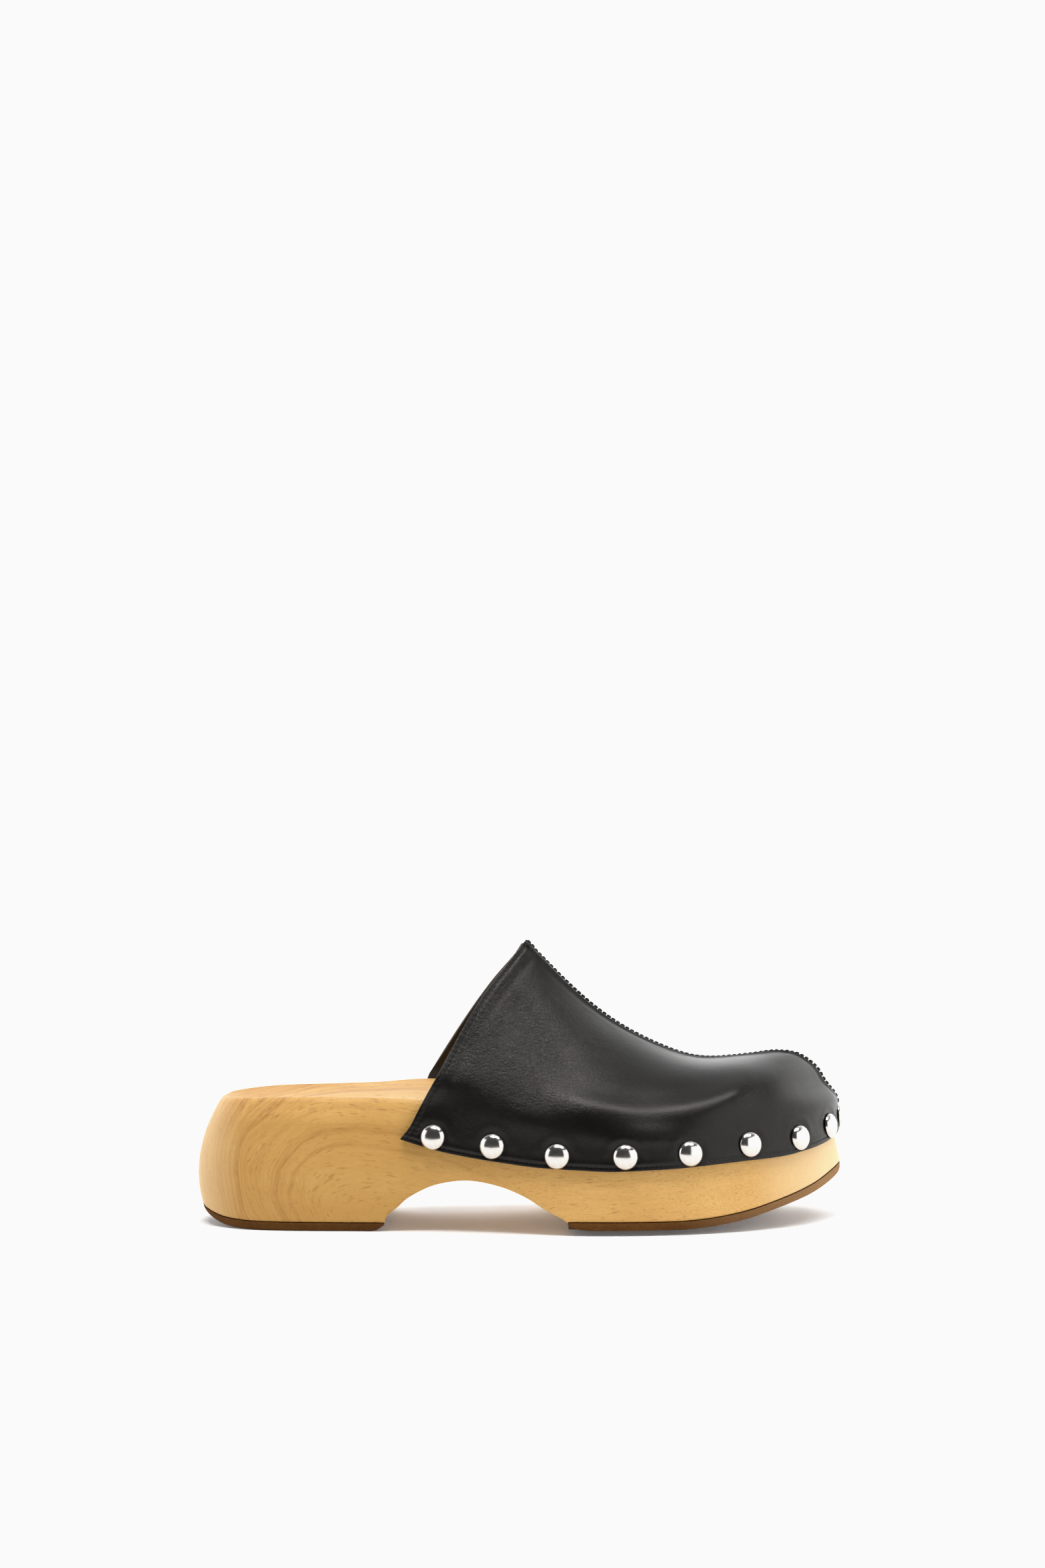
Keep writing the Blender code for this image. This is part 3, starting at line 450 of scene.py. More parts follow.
def wood_material():
    n = Nodes("wood")
    wob = n.noise(n.vec(n.math("MULTIPLY", n.x, 0.35), n.y, n.z), 0.035, 2, 0.5)
    wob = n.math("SUBTRACT", wob, 0.5)
    wob2 = n.noise(n.vec(n.math("MULTIPLY", n.x, 0.3), n.y, n.z), 0.16, 2, 0.5)
    wob2 = n.math("SUBTRACT", wob2, 0.5)
    # growth rings: shells about a sloping pith, drawn back towards the heel, so
    # that the side cuts them as arches that open towards the toe
    centre = n.math("ADD", 14.0, n.math("MULTIPLY", n.math("ADD", n.x, 82.0), -0.30))
    dz = n.math("SUBTRACT", n.z, centre)
    dy = n.math("ADD", n.y, 20.0)
    # flatter shells round the back of the heel
    share = n.remap(n.x, -109.0, -129.0, 1.0, 0.1)
    dy2 = n.math("MULTIPLY_ADD", n.math("SUBTRACT", n.math("MULTIPLY", dy, dy), 784.0), share, 784.0)
    reach = n.math("SQRT", n.math("ADD", n.math("MULTIPLY", dz, dz), dy2))
    pull = n.tree.nodes.new("ShaderNodeFloatCurve")
    curve = pull.mapping.curves[0]
    knots = [(-140, 0.0), (-120, 23.0), (-100, 45.0), (-90, 55.0), (-80, 62.5), (-70, 66.8), (-60, 69.6), (-45, 72.5), (-20, 75.2), (60, 79.0)]
    curve.points[0].location = ((knots[0][0] + 140) / 200, knots[0][1] / 80)
    curve.points[1].location = ((knots[-1][0] + 140) / 200, knots[-1][1] / 80)
    for x, v in knots[1:-1]:
        curve.points.new((x + 140) / 200, v / 80)
    pull.mapping.update()
    n.link(n.remap(n.x, -140.0, 60.0), pull.inputs["Value"])
    f = n.math("SUBTRACT", n.math("ADD", reach, 80.0), n.math("MULTIPLY", pull.outputs[0], 80.0))
    f = n.math("ADD", f, n.math("MULTIPLY", wob, 6.0))
    f = n.math("ADD", f, n.math("MULTIPLY", wob2, 1.6))
    # f runs from about 35 near the waist to 90 at the heel's back
    heelward = n.remap(n.x, 5.0, -60.0)
    back = n.remap(n.x, -78.0, -112.0)
    rings = n.ramp(n.remap(f, 30.0, 110.0), [(at / 80, (v, v, v)) for at, v in RINGS])
    fine = n.noise(n.vec(n.math("MULTIPLY", f, 0.75), n.math("MULTIPLY", n.z, 0.012), n.math("MULTIPLY", n.x, 0.004)), 1.0, 3, 0.72)
    fine = n.remap(fine, 0.42, 0.66)
    fibre = n.noise(n.vec(n.math("MULTIPLY", n.x, 0.035), n.math("MULTIPLY", n.y, 1.0), n.math("ADD", n.math("MULTIPLY", n.z, 1.0), n.math("MULTIPLY", n.x, -0.04))), 1.0, 4, 0.62)
    fibre = n.remap(fibre, 0.36, 0.72)
    dash = n.noise(n.vec(n.math("MULTIPLY", n.x, 0.22), n.math("MULTIPLY", n.y, 2.2), n.math("ADD", n.math("MULTIPLY", n.z, 2.2), n.math("MULTIPLY", n.x, -0.05))), 1.0, 1, 0.5)
    dash = n.remap(dash, 0.63, 0.72)
    arc_dash = n.noise(n.vec(n.math("MULTIPLY", f, 2.3), n.math("MULTIPLY", n.x, 0.2), n.math("MULTIPLY", n.z, 0.3)), 1.0, 1, 0.5)
    frayed = n.noise(n.vec(n.math("MULTIPLY", f, 1.4), n.math("MULTIPLY", n.x, 0.12), n.math("MULTIPLY", n.z, 0.2)), 1.0, 3, 0.6)
    rings = n.math("MULTIPLY", rings, n.remap(frayed, 0.35, 0.62, 0.35, 1.15))
    arc_dash = n.remap(arc_dash, 0.61, 0.71)
    speck = n.noise(n.vec(n.math("MULTIPLY", n.x, 0.8), n.math("MULTIPLY", n.y, 2.4), n.math("MULTIPLY", n.z, 2.4)), 1.0, 3, 0.7)
    blotch = n.noise(n.vec(n.math("MULTIPLY", n.x, 0.5), n.y, n.z), 0.035, 3, 0.55)
    base = n.mix(n.remap(blotch, 0.32, 0.68), lin(*WOOD_LOW), lin(*WOOD_HIGH))
    base = n.mix(n.math("MULTIPLY", n.math("MULTIPLY", rings, heelward), 0.75), base, lin(*WOOD_RING))
    base = n.mix(n.math("MULTIPLY", n.math("MULTIPLY", fine, back), 0.42), base, lin(*WOOD_RING))
    base = n.mix(n.math("MULTIPLY", n.math("MULTIPLY", fine, heelward), 0.12), base, lin(*WOOD_RING))
    base = n.mix(n.math("MULTIPLY", fibre, n.remap(heelward, 0.0, 1.0, 0.26, 0.08)), base, lin(*WOOD_STREAK))
    base = n.mix(n.math("MULTIPLY", dash, n.remap(heelward, 0.0, 1.0, 0.42, 0.05)), base, lin(*WOOD_PORE))
    base = n.mix(n.math("MULTIPLY", n.math("MULTIPLY", arc_dash, heelward), 0.55), base, lin(*WOOD_PORE))
    base = n.mix(n.math("MULTIPLY", n.remap(speck, 0.45, 0.75), 0.20), base, lin(*WOOD_PORE))
    # painted shade: the heel's side below the footbed's edge is darkened towards the heel
    heel_side_painted_shade = n.math("MULTIPLY", n.remap(n.x, 2.0, -42.0), n.remap(n.z, 47.0, 42.0))
    base = n.mix(n.math("MULTIPLY", heel_side_painted_shade, 0.42), base, lin(*WOOD_PAINTED_SHADE))
    # painted light: paler along the back of the heel as a painted sheen, and paler at the toe
    heel_back_painted_sheen = n.math("MULTIPLY", n.remap(n.x, -112.0, -131.0), 0.42)
    base = n.mix(heel_back_painted_sheen, base, lin(*WOOD_PAINTED_LIGHT))
    base = n.mix(n.math("MULTIPLY", n.remap(n.x, 90.0, 126.0), 0.75), base, lin(*WOOD_PAINTED_LIGHT))
    height = n.math("ADD", n.math("MULTIPLY", fibre, -0.3), n.math("MULTIPLY", n.math("ADD", dash, arc_dash), -0.7))
    height = n.math("ADD", height, n.math("MULTIPLY", n.math("MULTIPLY", fine, back), -0.5))
    height = n.math("ADD", height, n.math("MULTIPLY", speck, -0.4))
    normal = n.bump(height, 0.3, 0.12)
    rough = n.remap(n.math("ADD", n.math("MULTIPLY", fine, 0.4), n.math("MULTIPLY", speck, 0.6)), 0.2, 0.8, 0.52, 0.66)
    return n.done(base, rough, normal, Specular_IOR_Level=0.3)


# the third colour here is paler wood, painted on as light at the heel's back and the toe
WOOD_LOW, WOOD_HIGH, WOOD_PAINTED_LIGHT = (203, 155, 84), (217, 173, 102), (230, 203, 160)
WOOD_RING, WOOD_STREAK, WOOD_PORE = (158, 106, 56), (180, 130, 70), (132, 86, 44)
# colour of the painted shade on the heel's side
WOOD_PAINTED_SHADE = (166, 124, 54)
# how dark each growth ring is, by its distance out from the pith
RINGS = [(0, 0.0), (9.4, 0.12), (10.7, 0.8), (11.5, 0.15), (14.4, 0.2), (15.5, 0.95), (17.2, 0.35), (19.0, 0.0), (22.6, 0.08),
         (23.8, 0.35), (25.2, 0.05), (32.4, 0.15), (34.2, 0.95), (36.6, 0.4), (38.0, 0.1), (40.2, 0.45), (41.4, 0.1), (46.8, 0.15),
         (47.5, 1.0), (48.1, 0.2), (50.4, 0.15), (51.0, 0.6), (51.7, 0.1), (54.2, 0.6), (55.0, 0.1), (57.0, 0.5), (57.8, 0.1),
         (60.0, 0.5), (61.0, 0.1), (64.0, 0.5), (66.0, 0.1)]


def rubber_material():
    n = Nodes("rubber")
    grain = n.noise(n.mm, 1.1, 4, 0.65)
    speck = n.noise(n.mm, 3.2, 2, 0.6)
    cloud = n.noise(n.mm, 0.05, 2, 0.5)
    base = n.mix(n.remap(cloud, 0.3, 0.7), lin(82, 50, 18), lin(98, 64, 28))
    base = n.mix(n.math("MULTIPLY", n.remap(grain, 0.4, 0.7), 0.5), base, lin(66, 43, 24))
    base = n.mix(n.math("MULTIPLY", n.remap(speck, 0.62, 0.74), 0.35), base, lin(134, 101, 64))
    base = n.mix(n.math("MULTIPLY", n.remap(n.x, 60.0, 122.0), 0.6), base, lin(168, 132, 92))
    height = n.math("ADD", grain, n.math("MULTIPLY", speck, 0.4))
    normal = n.bump(height, 0.5, 0.25)
    return n.done(base, n.remap(grain, 0.3, 0.8, 0.8, 0.92), normal, Specular_IOR_Level=0.08)


def leather_material(name, low, high, rough_lo, rough_hi, depth, lining=False):
    n = Nodes(name)
    warp = n.noise(n.mm, 0.16, 2, 0.5, out="Color")
    shift = n.tree.nodes.new("ShaderNodeVectorMath")
    shift.operation = "MULTIPLY_ADD"
    n.link(warp, shift.inputs[0])
    shift.inputs[1].default_value = (2.2, 2.2, 2.2)
    n.link(n.mm, shift.inputs[2])
    p = shift.outputs[0]
    pebble = n.voronoi(p, 0.85, "SMOOTH_F1", smooth=0.6)
    crack = n.voronoi(p, 0.62, "DISTANCE_TO_EDGE")
    crack = n.remap(crack, 0.0, 0.16)
    small = n.voronoi(p, 2.1, "DISTANCE_TO_EDGE")
    small = n.remap(small, 0.0, 0.14)
    wrinkle = n.noise(p, 0.3, 3, 0.6, 1.2)
    micro = n.noise(n.mm, 6.0, 2, 0.6)
    # the grain opens where the leather is worked most, near the opening
    away = n.tree.nodes.new("ShaderNodeVectorMath")
    away.operation = "DISTANCE"
    n.link(n.mm, away.inputs[0])
    away.inputs[1].default_value = (-4.0, -30.0, 76.0)
    open_grain = n.remap(away.outputs["Value"], 14.0, 52.0, 1.6, 0.32)
    height = n.math("ADD", n.math("MULTIPLY", crack, 0.50), n.math("MULTIPLY", small, 0.28))
    height = n.math("ADD", height, n.math("MULTIPLY", pebble, -0.30))
    height = n.math("ADD", height, n.math("MULTIPLY", wrinkle, 1.1))
    height = n.math("MULTIPLY", height, open_grain)
    height = n.math("ADD", height, n.math("MULTIPLY", micro, 0.05))
    normal = n.bump(height, 0.6, depth)
    tone = n.noise(n.mm, 0.035, 3, 0.5)
    base = n.mix(n.remap(tone, 0.3, 0.7), lin(*low), lin(*high))
    # painted shade: the grain's cracks are darkened where the bump sinks them
    base = n.mix(n.math("MULTIPLY", n.math("SUBTRACT", 1.0, crack), 0.4), base, lin(9, 9, 8))
    # painted highlight: the outer leather's rounded edges are painted a paler brown
    if not lining:
        edge = n.attribute("edge_painted_highlight")
        base = n.mix(edge, base, lin(*EDGE_PAINTED_HIGHLIGHT))
    rough = n.remap(n.math("ADD", n.math("MULTIPLY", tone, 0.5), n.math("MULTIPLY", micro, 0.5)), 0.3, 0.7, rough_lo, rough_hi)
    fixed = dict(Specular_IOR_Level=0.26, Specular_Tint=(1.0, 0.94, 0.87, 1.0))
    return n.done(base, rough, normal, **fixed)


# colour of the painted highlight on the leather's edges
EDGE_PAINTED_HIGHLIGHT = (92, 80, 66)


def thread_material():
    n = Nodes("thread")
    twist = n.noise(n.mm, 4.0, 2, 0.6)
    base = n.mix(n.remap(twist, 0.3, 0.7), lin(14, 14, 14), lin(24, 24, 23))
    normal = n.bump(twist, 0.5, 0.08)
    return n.done(base, n.remap(twist, 0.3, 0.7, 0.38, 0.55), normal, Specular_IOR_Level=0.3)


def metal_material():
    n = Nodes("stud_metal")
    cloud = n.noise(n.mm, 0.7, 2, 0.5)
    scuff = n.noise(n.vec(n.math("MULTIPLY", n.x, 3.0), n.math("MULTIPLY", n.y, 3.0), n.math("MULTIPLY", n.z, 0.6)), 1.0, 3, 0.6)
    base = n.mix(n.remap(cloud, 0.3, 0.7), (0.63, 0.595, 0.55), (0.70, 0.665, 0.62))
    normal = n.bump(n.math("ADD", cloud, n.math("MULTIPLY", scuff, 0.15)), 0.18, 0.12)
    return n.done(base, n.remap(scuff, 0.35, 0.75, 0.13, 0.22), normal, Metallic=1.0)


WOOD = wood_material()
RUBBER = rubber_material()
LEATHER = leather_material("leather_outer", (11, 11, 10), (15, 14, 13), 0.27, 0.34, 0.11)
LINING = leather_material("leather_lining", (44, 41, 38), (54, 50, 46), 0.6, 0.75, 0.12, lining=True)
THREAD = thread_material()
METAL = metal_material()


# ---------------------------------------------------------- sole and treads
def arch_height():
    pts = np.array(ARCH[1:-1])
    chord = np.concatenate([[0], np.cumsum(np.linalg.norm(np.diff(pts, axis=0), axis=1))])
    dense = spline(chord, pts)(np.linspace(0, chord[-1], 900))
    return dense[:, 0], dense[:, 1]


ARCH_LINE = arch_height()


def under_z(x):
    """Height of the wood's underside on its middle line, the arch included."""
    flat = float(face_z(x))
    if -54.3 < x < 17.8:
        return max(flat, float(np.interp(x, *ARCH_LINE)))
    return flat


def lofted(name, xs, lat, med, floor, roof, across, mat, replaces):
    """Fine loft: side columns low to high, then floor and roof between them."""
    lat, med = np.asarray(lat), np.asarray(med)
    k, levels = len(lat), lat.shape[1]
    s = np.linspace(0, 1, across + 1)
    verts, faces = [], []
    count = 0
    for cols, flip in ((lat, False), (med, True)):
        verts.append(cols.reshape(-1, 3))
        quads = grid_faces(k, levels, count)
        faces += [q[::-1] for q in quads] if flip else quads
        count += k * levels
    for level, height, flip in ((0, floor, True), (levels - 1, roof, False)):
        a, b = lat[:, level], med[:, level]
        p = a[:, None] + (b - a)[:, None] * s[None, :, None]
        for i in range(k):
            for j in range(1, across):
                p[i, j, 2] = height(xs[i], s[j], p[i, j, 2])
        verts.append(p.reshape(-1, 3))
        quads = grid_faces(k, across + 1, count)
        faces += [q[::-1] for q in quads] if flip else quads
        count += k * (across + 1)
    verts = np.vstack(verts)
    for e in (0, k - 1):
        if not np.allclose(lat[e], med[e]):
            base = len(verts)
            low = np.arange(across + 1) + 2 * k * levels + e * (across + 1)
            high = low + k * (across + 1)
            left = np.arange(levels) + e * levels
            right = left + k * levels
            faces.append([int(v) for v in [*left, *high[1:-1], *right[::-1], *low[1:-1][::-1]]])
    return piece(name, verts, faces, mat, replaces)


def fine_stations(lo, hi, step, marks, tip_lo, tip_hi):
    n = int((hi - lo) / step)
    w = np.linspace(0, 1, n)
    xs = lo + (hi - lo) * w
    extra = []
    if tip_lo:
        extra += list(lo + 6.0 * np.linspace(0, 1, 26) ** 2)
    if tip_hi:
        extra += list(hi - 6.0 * np.linspace(0, 1, 26) ** 2)
    xs = [x for x in xs if not (tip_lo and x < lo + 6) and not (tip_hi and x > hi - 6)]
    for m in marks:
        extra += [m - 0.5, m - 0.06, m + 0.06, m + 0.5]
        xs = [x for x in xs if abs(x - m) > 0.7]
    xs = sorted(xs + [x for x in extra if lo - 1e-6 <= x <= hi + 1e-6])
    keep = [xs[0]]
    for x in xs[1:]:
        if x - keep[-1] > 0.004:
            keep.append(x)
    keep[-1] = hi
    return np.array(keep)


def fine_wood():
    xs = fine_stations(HEEL_TIP, TOE_TIP, 1.1, (-54.3, 17.8), True, True)
    cols = ([], [])
    r = 2.0
    for side in (LAT, MED):
        for x in xs:
            low = under_z(x) + float(lift_z(x)) * (0 if -54.3 < x < 17.8 else 1) + 0.15
            top = float(edge_z[side](x))
            rb = 0.7
            col = [wall(side, x, low + rb * (1 - math.cos(a)), -rb * (1 - math.sin(a))) for a in (0.05, 0.5, 1.0, 1.5)]
            col += [wall(side, x, low + rb + (top - r - low - rb) * f) for f in np.linspace(0.02, 1, 26)]
            col += [wall(side, x, top - r + r * math.sin(a), -r * (1 - math.cos(a))) for a in np.linspace(0.2, math.pi / 2, 7)]
            cols[side].append(col)
    for e in (0, -1):
        cols[MED][e] = cols[LAT][e]

    def floor(x, s, z):
        return under_z(x) + (0 if -54.3 < x < 17.8 else float(lift_z(x)) * abs(2 * s - 1) ** 2.2) + 0.15

    def roof(x, s, z):
        return z - float(dish_z(x)) * (1 - abs(2 * s - 1) ** 2.4)

    return lofted("wooden_sole_carved", xs, cols[0], cols[1], floor, roof, 44, WOOD, ("wooden_sole",))


def fine_tread(name, lo, hi, node):
    tip_lo, tip_hi = lo < -100, hi > 100
    xs = fine_stations(lo, hi, 1.3, (), tip_lo, tip_hi)
    cols = ([], [])
    for side in (LAT, MED):
        for i, x in enumerate(xs):
            inset = 0.0
            if not tip_lo:
                inset = 0.7 * math.exp(-(x - lo) / 0.8)
            if not tip_hi:
                inset = 0.7 * math.exp(-(hi - x) / 0.8)
            top = float(face_z(x) + lift_z(x)) - 0.12
            low = min(float(walk_z(x) + lift_z(x)), top - 1.0)
            h = top - low
            col = [wall(side, x, low + h * (0.62 * (1 - math.cos(a))), -1.7 * (1 - math.sin(a)) - inset + 0.1) for a in np.linspace(0.02, math.pi / 2, 8)]
            col += [wall(side, x, low + h * f, 0.1 - inset) for f in (0.72, 0.84, 0.95)]
            col.append(wall(side, x, top, -0.08 - inset))
            cols[side].append(col)
    for e, tip in ((0, tip_lo), (-1, tip_hi)):
        if tip:
            cols[MED][e] = cols[LAT][e]

    def floor(x, s, z):
        return min(float(walk_z(x) + lift_z(x) * abs(2 * s - 1) ** 2.2), float(face_z(x)) - 1.2)

    def roof(x, s, z):
        return float(face_z(x) + lift_z(x) * abs(2 * s - 1) ** 2.2) - 0.12

    return lofted(name, xs, cols[0], cols[1], floor, roof, 36, RUBBER, (node,))


fine_wood()
fine_tread("heel_tread_rubber", HEEL_TIP, TREAD_SPLIT_HEEL, "heel_tread")
fine_tread("forefoot_tread_rubber", TREAD_SPLIT_FORE, TOE_TIP, "forefoot_tread")


# ------------------------------------------------------------------ leather
def surface_normals(grid):
    n = np.cross(np.gradient(grid, axis=0), np.gradient(grid, axis=1))
    n = n / np.maximum(np.linalg.norm(n, axis=2, keepdims=True), 1e-9)
    away = np.linalg.norm(grid - grid[-1, -1], axis=2)
    ring = n[(away > 8) & (away < 15)].sum(axis=0)
    blend = np.exp(-((away / 5.5) ** 2))[..., None]
    n = n * (1 - blend) + ring / np.linalg.norm(ring) * blend
    n /= np.linalg.norm(n, axis=2, keepdims=True)
    return -n if (n * (grid - np.array([30.0, 5.0, 40.0]))).sum() < 0 else n


def run_of(grid, axis):
    step = np.linalg.norm(np.diff(grid, axis=axis), axis=2)
    zero = np.zeros_like(np.take(step, [0], axis=axis))
    return np.concatenate([zero, np.cumsum(step, axis=axis)], axis=axis)


def even(n, lo, hi, ends_lo, ends_hi, tight):
    """n places from lo to hi, closer together at the chosen ends."""
    w = np.linspace(0, 1, n)
    density = np.ones(n)
    if ends_lo:
        density += tight * np.exp(-((w / 0.07) ** 2))
    if ends_hi:
        density += tight * np.exp(-(((1 - w) / 0.07) ** 2))
    c = np.concatenate([[0], np.cumsum((density[1:] + density[:-1]) / 2)])
    return lo + (hi - lo) * np.interp(w, c / c[-1], w)


def bare_surface(side, ts, vs):
    grid = np.zeros((len(ts), len(vs), 3))
    for i, t in enumerate(ts):
        pts = strip(side, t, STACK)
        chord = np.concatenate([[0], np.cumsum(np.linalg.norm(np.diff(pts, axis=0), axis=1))])
        grid[i] = spline(chord / chord[-1], pts)(vs)
    return grid


# the fold where the leather leaves the sole's wall and turns over the foot,
# seen from the side
FOLD = np.array([(-9, 58), (-4, 56.4), (4, 54), (11, 51.6), (18.3, 49.9), (26, 48.1), (35, 46.4), (42, 45.3), (49, 44.8),
                 (57, 45.2), (66, 46.5), (75, 48.5), (84, 51.2), (91, 54.2), (97, 57)], float)


def fold_distance(grid, line):
    """Signed distance above a line in the side view, and how far along it."""
    chord = np.concatenate([[0], np.cumsum(np.linalg.norm(np.diff(line, axis=0), axis=1))])
    dense = spline(chord, line)(np.linspace(0, chord[-1], 160))
    tangent = np.gradient(dense, axis=0)
    tangent /= np.linalg.norm(tangent, axis=1)[:, None]
    up = np.stack([-tangent[:, 1], tangent[:, 0]], axis=1)
    xz = grid[..., [0, 2]].reshape(-1, 2)
    d2 = ((xz[:, None, :] - dense[None]) ** 2).sum(axis=2)
    near = d2.argmin(axis=1)
    rel = xz - dense[near]
    return (rel * up[near]).sum(axis=1).reshape(grid.shape[:2]), (near / 159.0).reshape(grid.shape[:2])


# a shallow crease that runs down from the opening towards that fold
CREASE = np.array([(-11, 98), (-5, 90), (2, 81), (9, 72), (16, 64), (23, 58)], float)


def form(grid, side):
    """Soft shaping of the pulled leather, shared by both of its layers."""
    strength = 1.0 if side == LAT else 0.6
    d, w = fold_distance(grid, FOLD)
    ends = smooth(w, 0.0, 0.22) * (1 - smooth(w, 0.86, 1.0))
    lift = 1.7 * np.exp(-(((d - 1.8) / np.where(d < 1.8, 6.6, 5.0)) ** 2)) * ends * smooth(w, 0.05, 0.4)
    c, w = fold_distance(grid, CREASE)
    ends = smooth(w, 0.0, 0.3) * (1 - smooth(w, 0.7, 1.0))
    lift -= 1.1 * np.exp(-(((c - 1.0) / 7.0) ** 2)) * ends
    lift += 0.15 * np.exp(-(((c - 12.0) / 5.5) ** 2)) * ends
    return lift * strength


def leather_half(side, nt, nv, inset, seam, depth, hem_up, detail):
    ts, vs = even(nt, 0, 1, True, True, 1.2), even(nv, 0, 1, True, True, 1.5)
    grid = bare_surface(side, ts, vs)
    n = surface_normals(grid)
    up = np.gradient(grid, axis=1)
    up /= np.maximum(np.linalg.norm(up, axis=2, keepdims=True), 1e-9)
    grid = grid - n * inset + up * (hem_up * (1 - smooth(vs, 0, 0.2)))[None, :, None]
    sign = -1 if side == LAT else 1
    tilt = np.abs(n[..., 1])
    top = np.maximum(seam, 0.35 + depth * tilt[:, -1])
    nose = np.maximum(seam, 0.35 + depth * tilt[-1, :])
    corner = np.linalg.norm(grid - grid[-1, -1], axis=2)
    grid = grid + n * form(grid, side)[..., None]
    step = np.maximum(
        np.maximum(smooth(vs, 0.72, 1.0)[None, :] * top[:, None], smooth(ts, 0.93, 1.0)[:, None] * nose[None, :]),
        np.exp(-((corner / 6.0) ** 4)) * (top[-1] + 0.1),
    )
    along = np.array([0.0, 1.0, 0.0]) - n * n[..., 1:2]
    along /= np.maximum(along[..., 1:2], 0.3)
    grid = grid + along * (step * sign)[..., None]
    if not detail:
        return grid, n
    # distances from the hem, from the opening and from the seam
    hem = run_of(grid, 1)
    mouth = run_of(grid, 0)
    mouth_s = hem[0]
    seam_d = np.minimum(hem[:, -1:] - hem, mouth[-1:, :] - mouth)
    hem_s = run_of(grid, 0)[:, :1]
    flat = grid.reshape(-1, 3)
    lift = np.zeros(grid.shape[:2])
    broad = hash_noise(flat, 0.028, 11.3 + side * 5).reshape(lift.shape)
    lift += 0.22 * broad * smooth(hem, 12, 26)
    wrinkle = hash_noise(flat * np.array([1.0, 1.0, 0.55]), 0.13, 3.7 + side).reshape(lift.shape)
    zone = np.exp(-(((grid[..., 0] + 2) / 22) ** 2) - (((grid[..., 2] - 74) / 18) ** 2))
    lift += 0.10 * wrinkle * (0.25 + zone) * smooth(hem, 10, 20)
    # stitched rows pull the leather down, and it puckers between the stitches
    lift -= 0.16 * np.exp(-(((hem - 1.35) / 0.45) ** 2))
    lift += 0.10 * np.exp(-(((hem - 2.5) / 0.8) ** 2))
    pull = np.exp(-(((mouth - 1.35) / 0.5) ** 2))
    lift -= 0.20 * pull
    ripple = np.cos(2 * math.pi * mouth_s / 2.2)[None, :]
    lift += (0.16 + 0.07 * ripple) * np.exp(-(((mouth - 2.7) / 0.95) ** 2))
    lift += 0.08 * ripple * np.exp(-(((mouth - 0.3) / 0.5) ** 2))
    # a shallow crease inside the opening
    lift -= 0.22 * np.exp(-(((mouth - 6.3) / 1.6) ** 2)) * smooth(mouth_s, 12, 35)[None, :]
    # turned lips along the centre seam
    lip = np.exp(-(((seam_d - 1.15) / 0.75) ** 2)) * smooth(hem, 6, 14)
    way = np.where(hem[:, -1:] - hem < mouth[-1:, :] - mouth, hem_s, hem_s[-1] + hem[-1:, -1:] - hem)
    lift += (0.30 + 0.09 * np.cos(2 * math.pi * way / 2.2)) * lip
    lift -= 0.16 * np.exp(-((seam_d / 0.5) ** 2)) * smooth(hem, 6, 14)
    lift -= 0.14 * np.exp(-(((seam_d - 3.4) / 1.3) ** 2)) * smooth(hem, 6, 14)
    # nail heads press the leather in round their rims
    for x, z in STUDS:
        centre = wall(side, x, z, STACK)
        r = np.linalg.norm(grid - centre, axis=2)
        lift -= 0.22 * np.exp(-(((r - 4.6) / 1.3) ** 2))
        lift += 0.12 * np.exp(-(((r - 7.6) / 1.5) ** 2)) * smooth(hem, 4.5, 7)
    lift = lift * (1 - 0.0 * hem)
    return grid + n * lift[..., None], n


def skin(name, side, grid, n, thickness, mat, replaces, lip=0.32):
    """A closed leather piece with rounded edges from its outer face."""
    nt, nv = grid.shape[:2]
    ring = [(i, 0) for i in range(nt)] + [(nt - 1, j) for j in range(1, nv)]
    ring += [(i, nv - 1) for i in range(nt - 2, -1, -1)] + [(0, j) for j in range(nv - 2, 0, -1)]
    ri, rj = np.array(ring).T
    edge, edge_n = grid[ri, rj], n[ri, rj]
    along = np.roll(edge, -1, axis=0) - np.roll(edge, 1, axis=0)
    along /= np.maximum(np.linalg.norm(along, axis=1, keepdims=True), 1e-9)
    out = np.cross(along, edge_n)
    out /= np.maximum(np.linalg.norm(out, axis=1, keepdims=True), 1e-9)
    ci, cj = np.clip(ri, 1, nt - 2), np.clip(rj, 1, nv - 2)
    inward = grid[ci, cj] - edge
    if (out * inward).sum() > 0:
        out = -out
    verts, faces = [grid.reshape(-1, 3)], grid_faces(nt, nv)
    mark = [np.zeros(nt * nv)]
    count, size = nt * nv, len(ring)
    previous = [int(i * nv + j) for i, j in ring]
    profile = [(0.38, 0.08), (0.71, 0.29), (0.92, 0.62), (1.0, 1.0)]
    steps = [(lip * a, lip * b) for a, b in profile]
    steps += [(lip * a, thickness - lip * b) for a, b in profile[::-1]] + [(0.0, thickness)]
    for k, (o, down) in enumerate(steps):
        verts.append(edge + out * o - edge_n * down)
        mark.append(np.full(size, 1.0 if 2 <= k <= 7 else 0.0))
        now = list(range(count, count + size))
        faces += [(previous[q], previous[(q + 1) % size], now[(q + 1) % size], now[q]) for q in range(size)]
        previous, count = now, count + size
    inner = (grid - n * thickness).reshape(-1, 3)
    # the inner face shares its border with the last ring of the edge
    index = np.full(nt * nv, -1)
    index[[int(i * nv + j) for i, j in ring]] = previous
    free = np.where(index < 0)[0]
    index[free] = np.arange(count, count + len(free))
    verts.append(inner[free])
    mark.append(np.zeros(len(free)))
    faces += [tuple(int(index[v]) for v in q[::-1]) for q in grid_faces(nt, nv)]
    mark = np.concatenate(mark)
    obj = piece(name, np.vstack(verts), faces, mat, replaces)
    # the edge rings carry the mask for the painted highlight on the rounded edges
    if len(obj.data.vertices) == len(mark):
        layer = obj.data.attributes.new("edge_painted_highlight", "FLOAT", "POINT")
        layer.data.foreach_set("value", mark.astype(np.float32))
    return obj


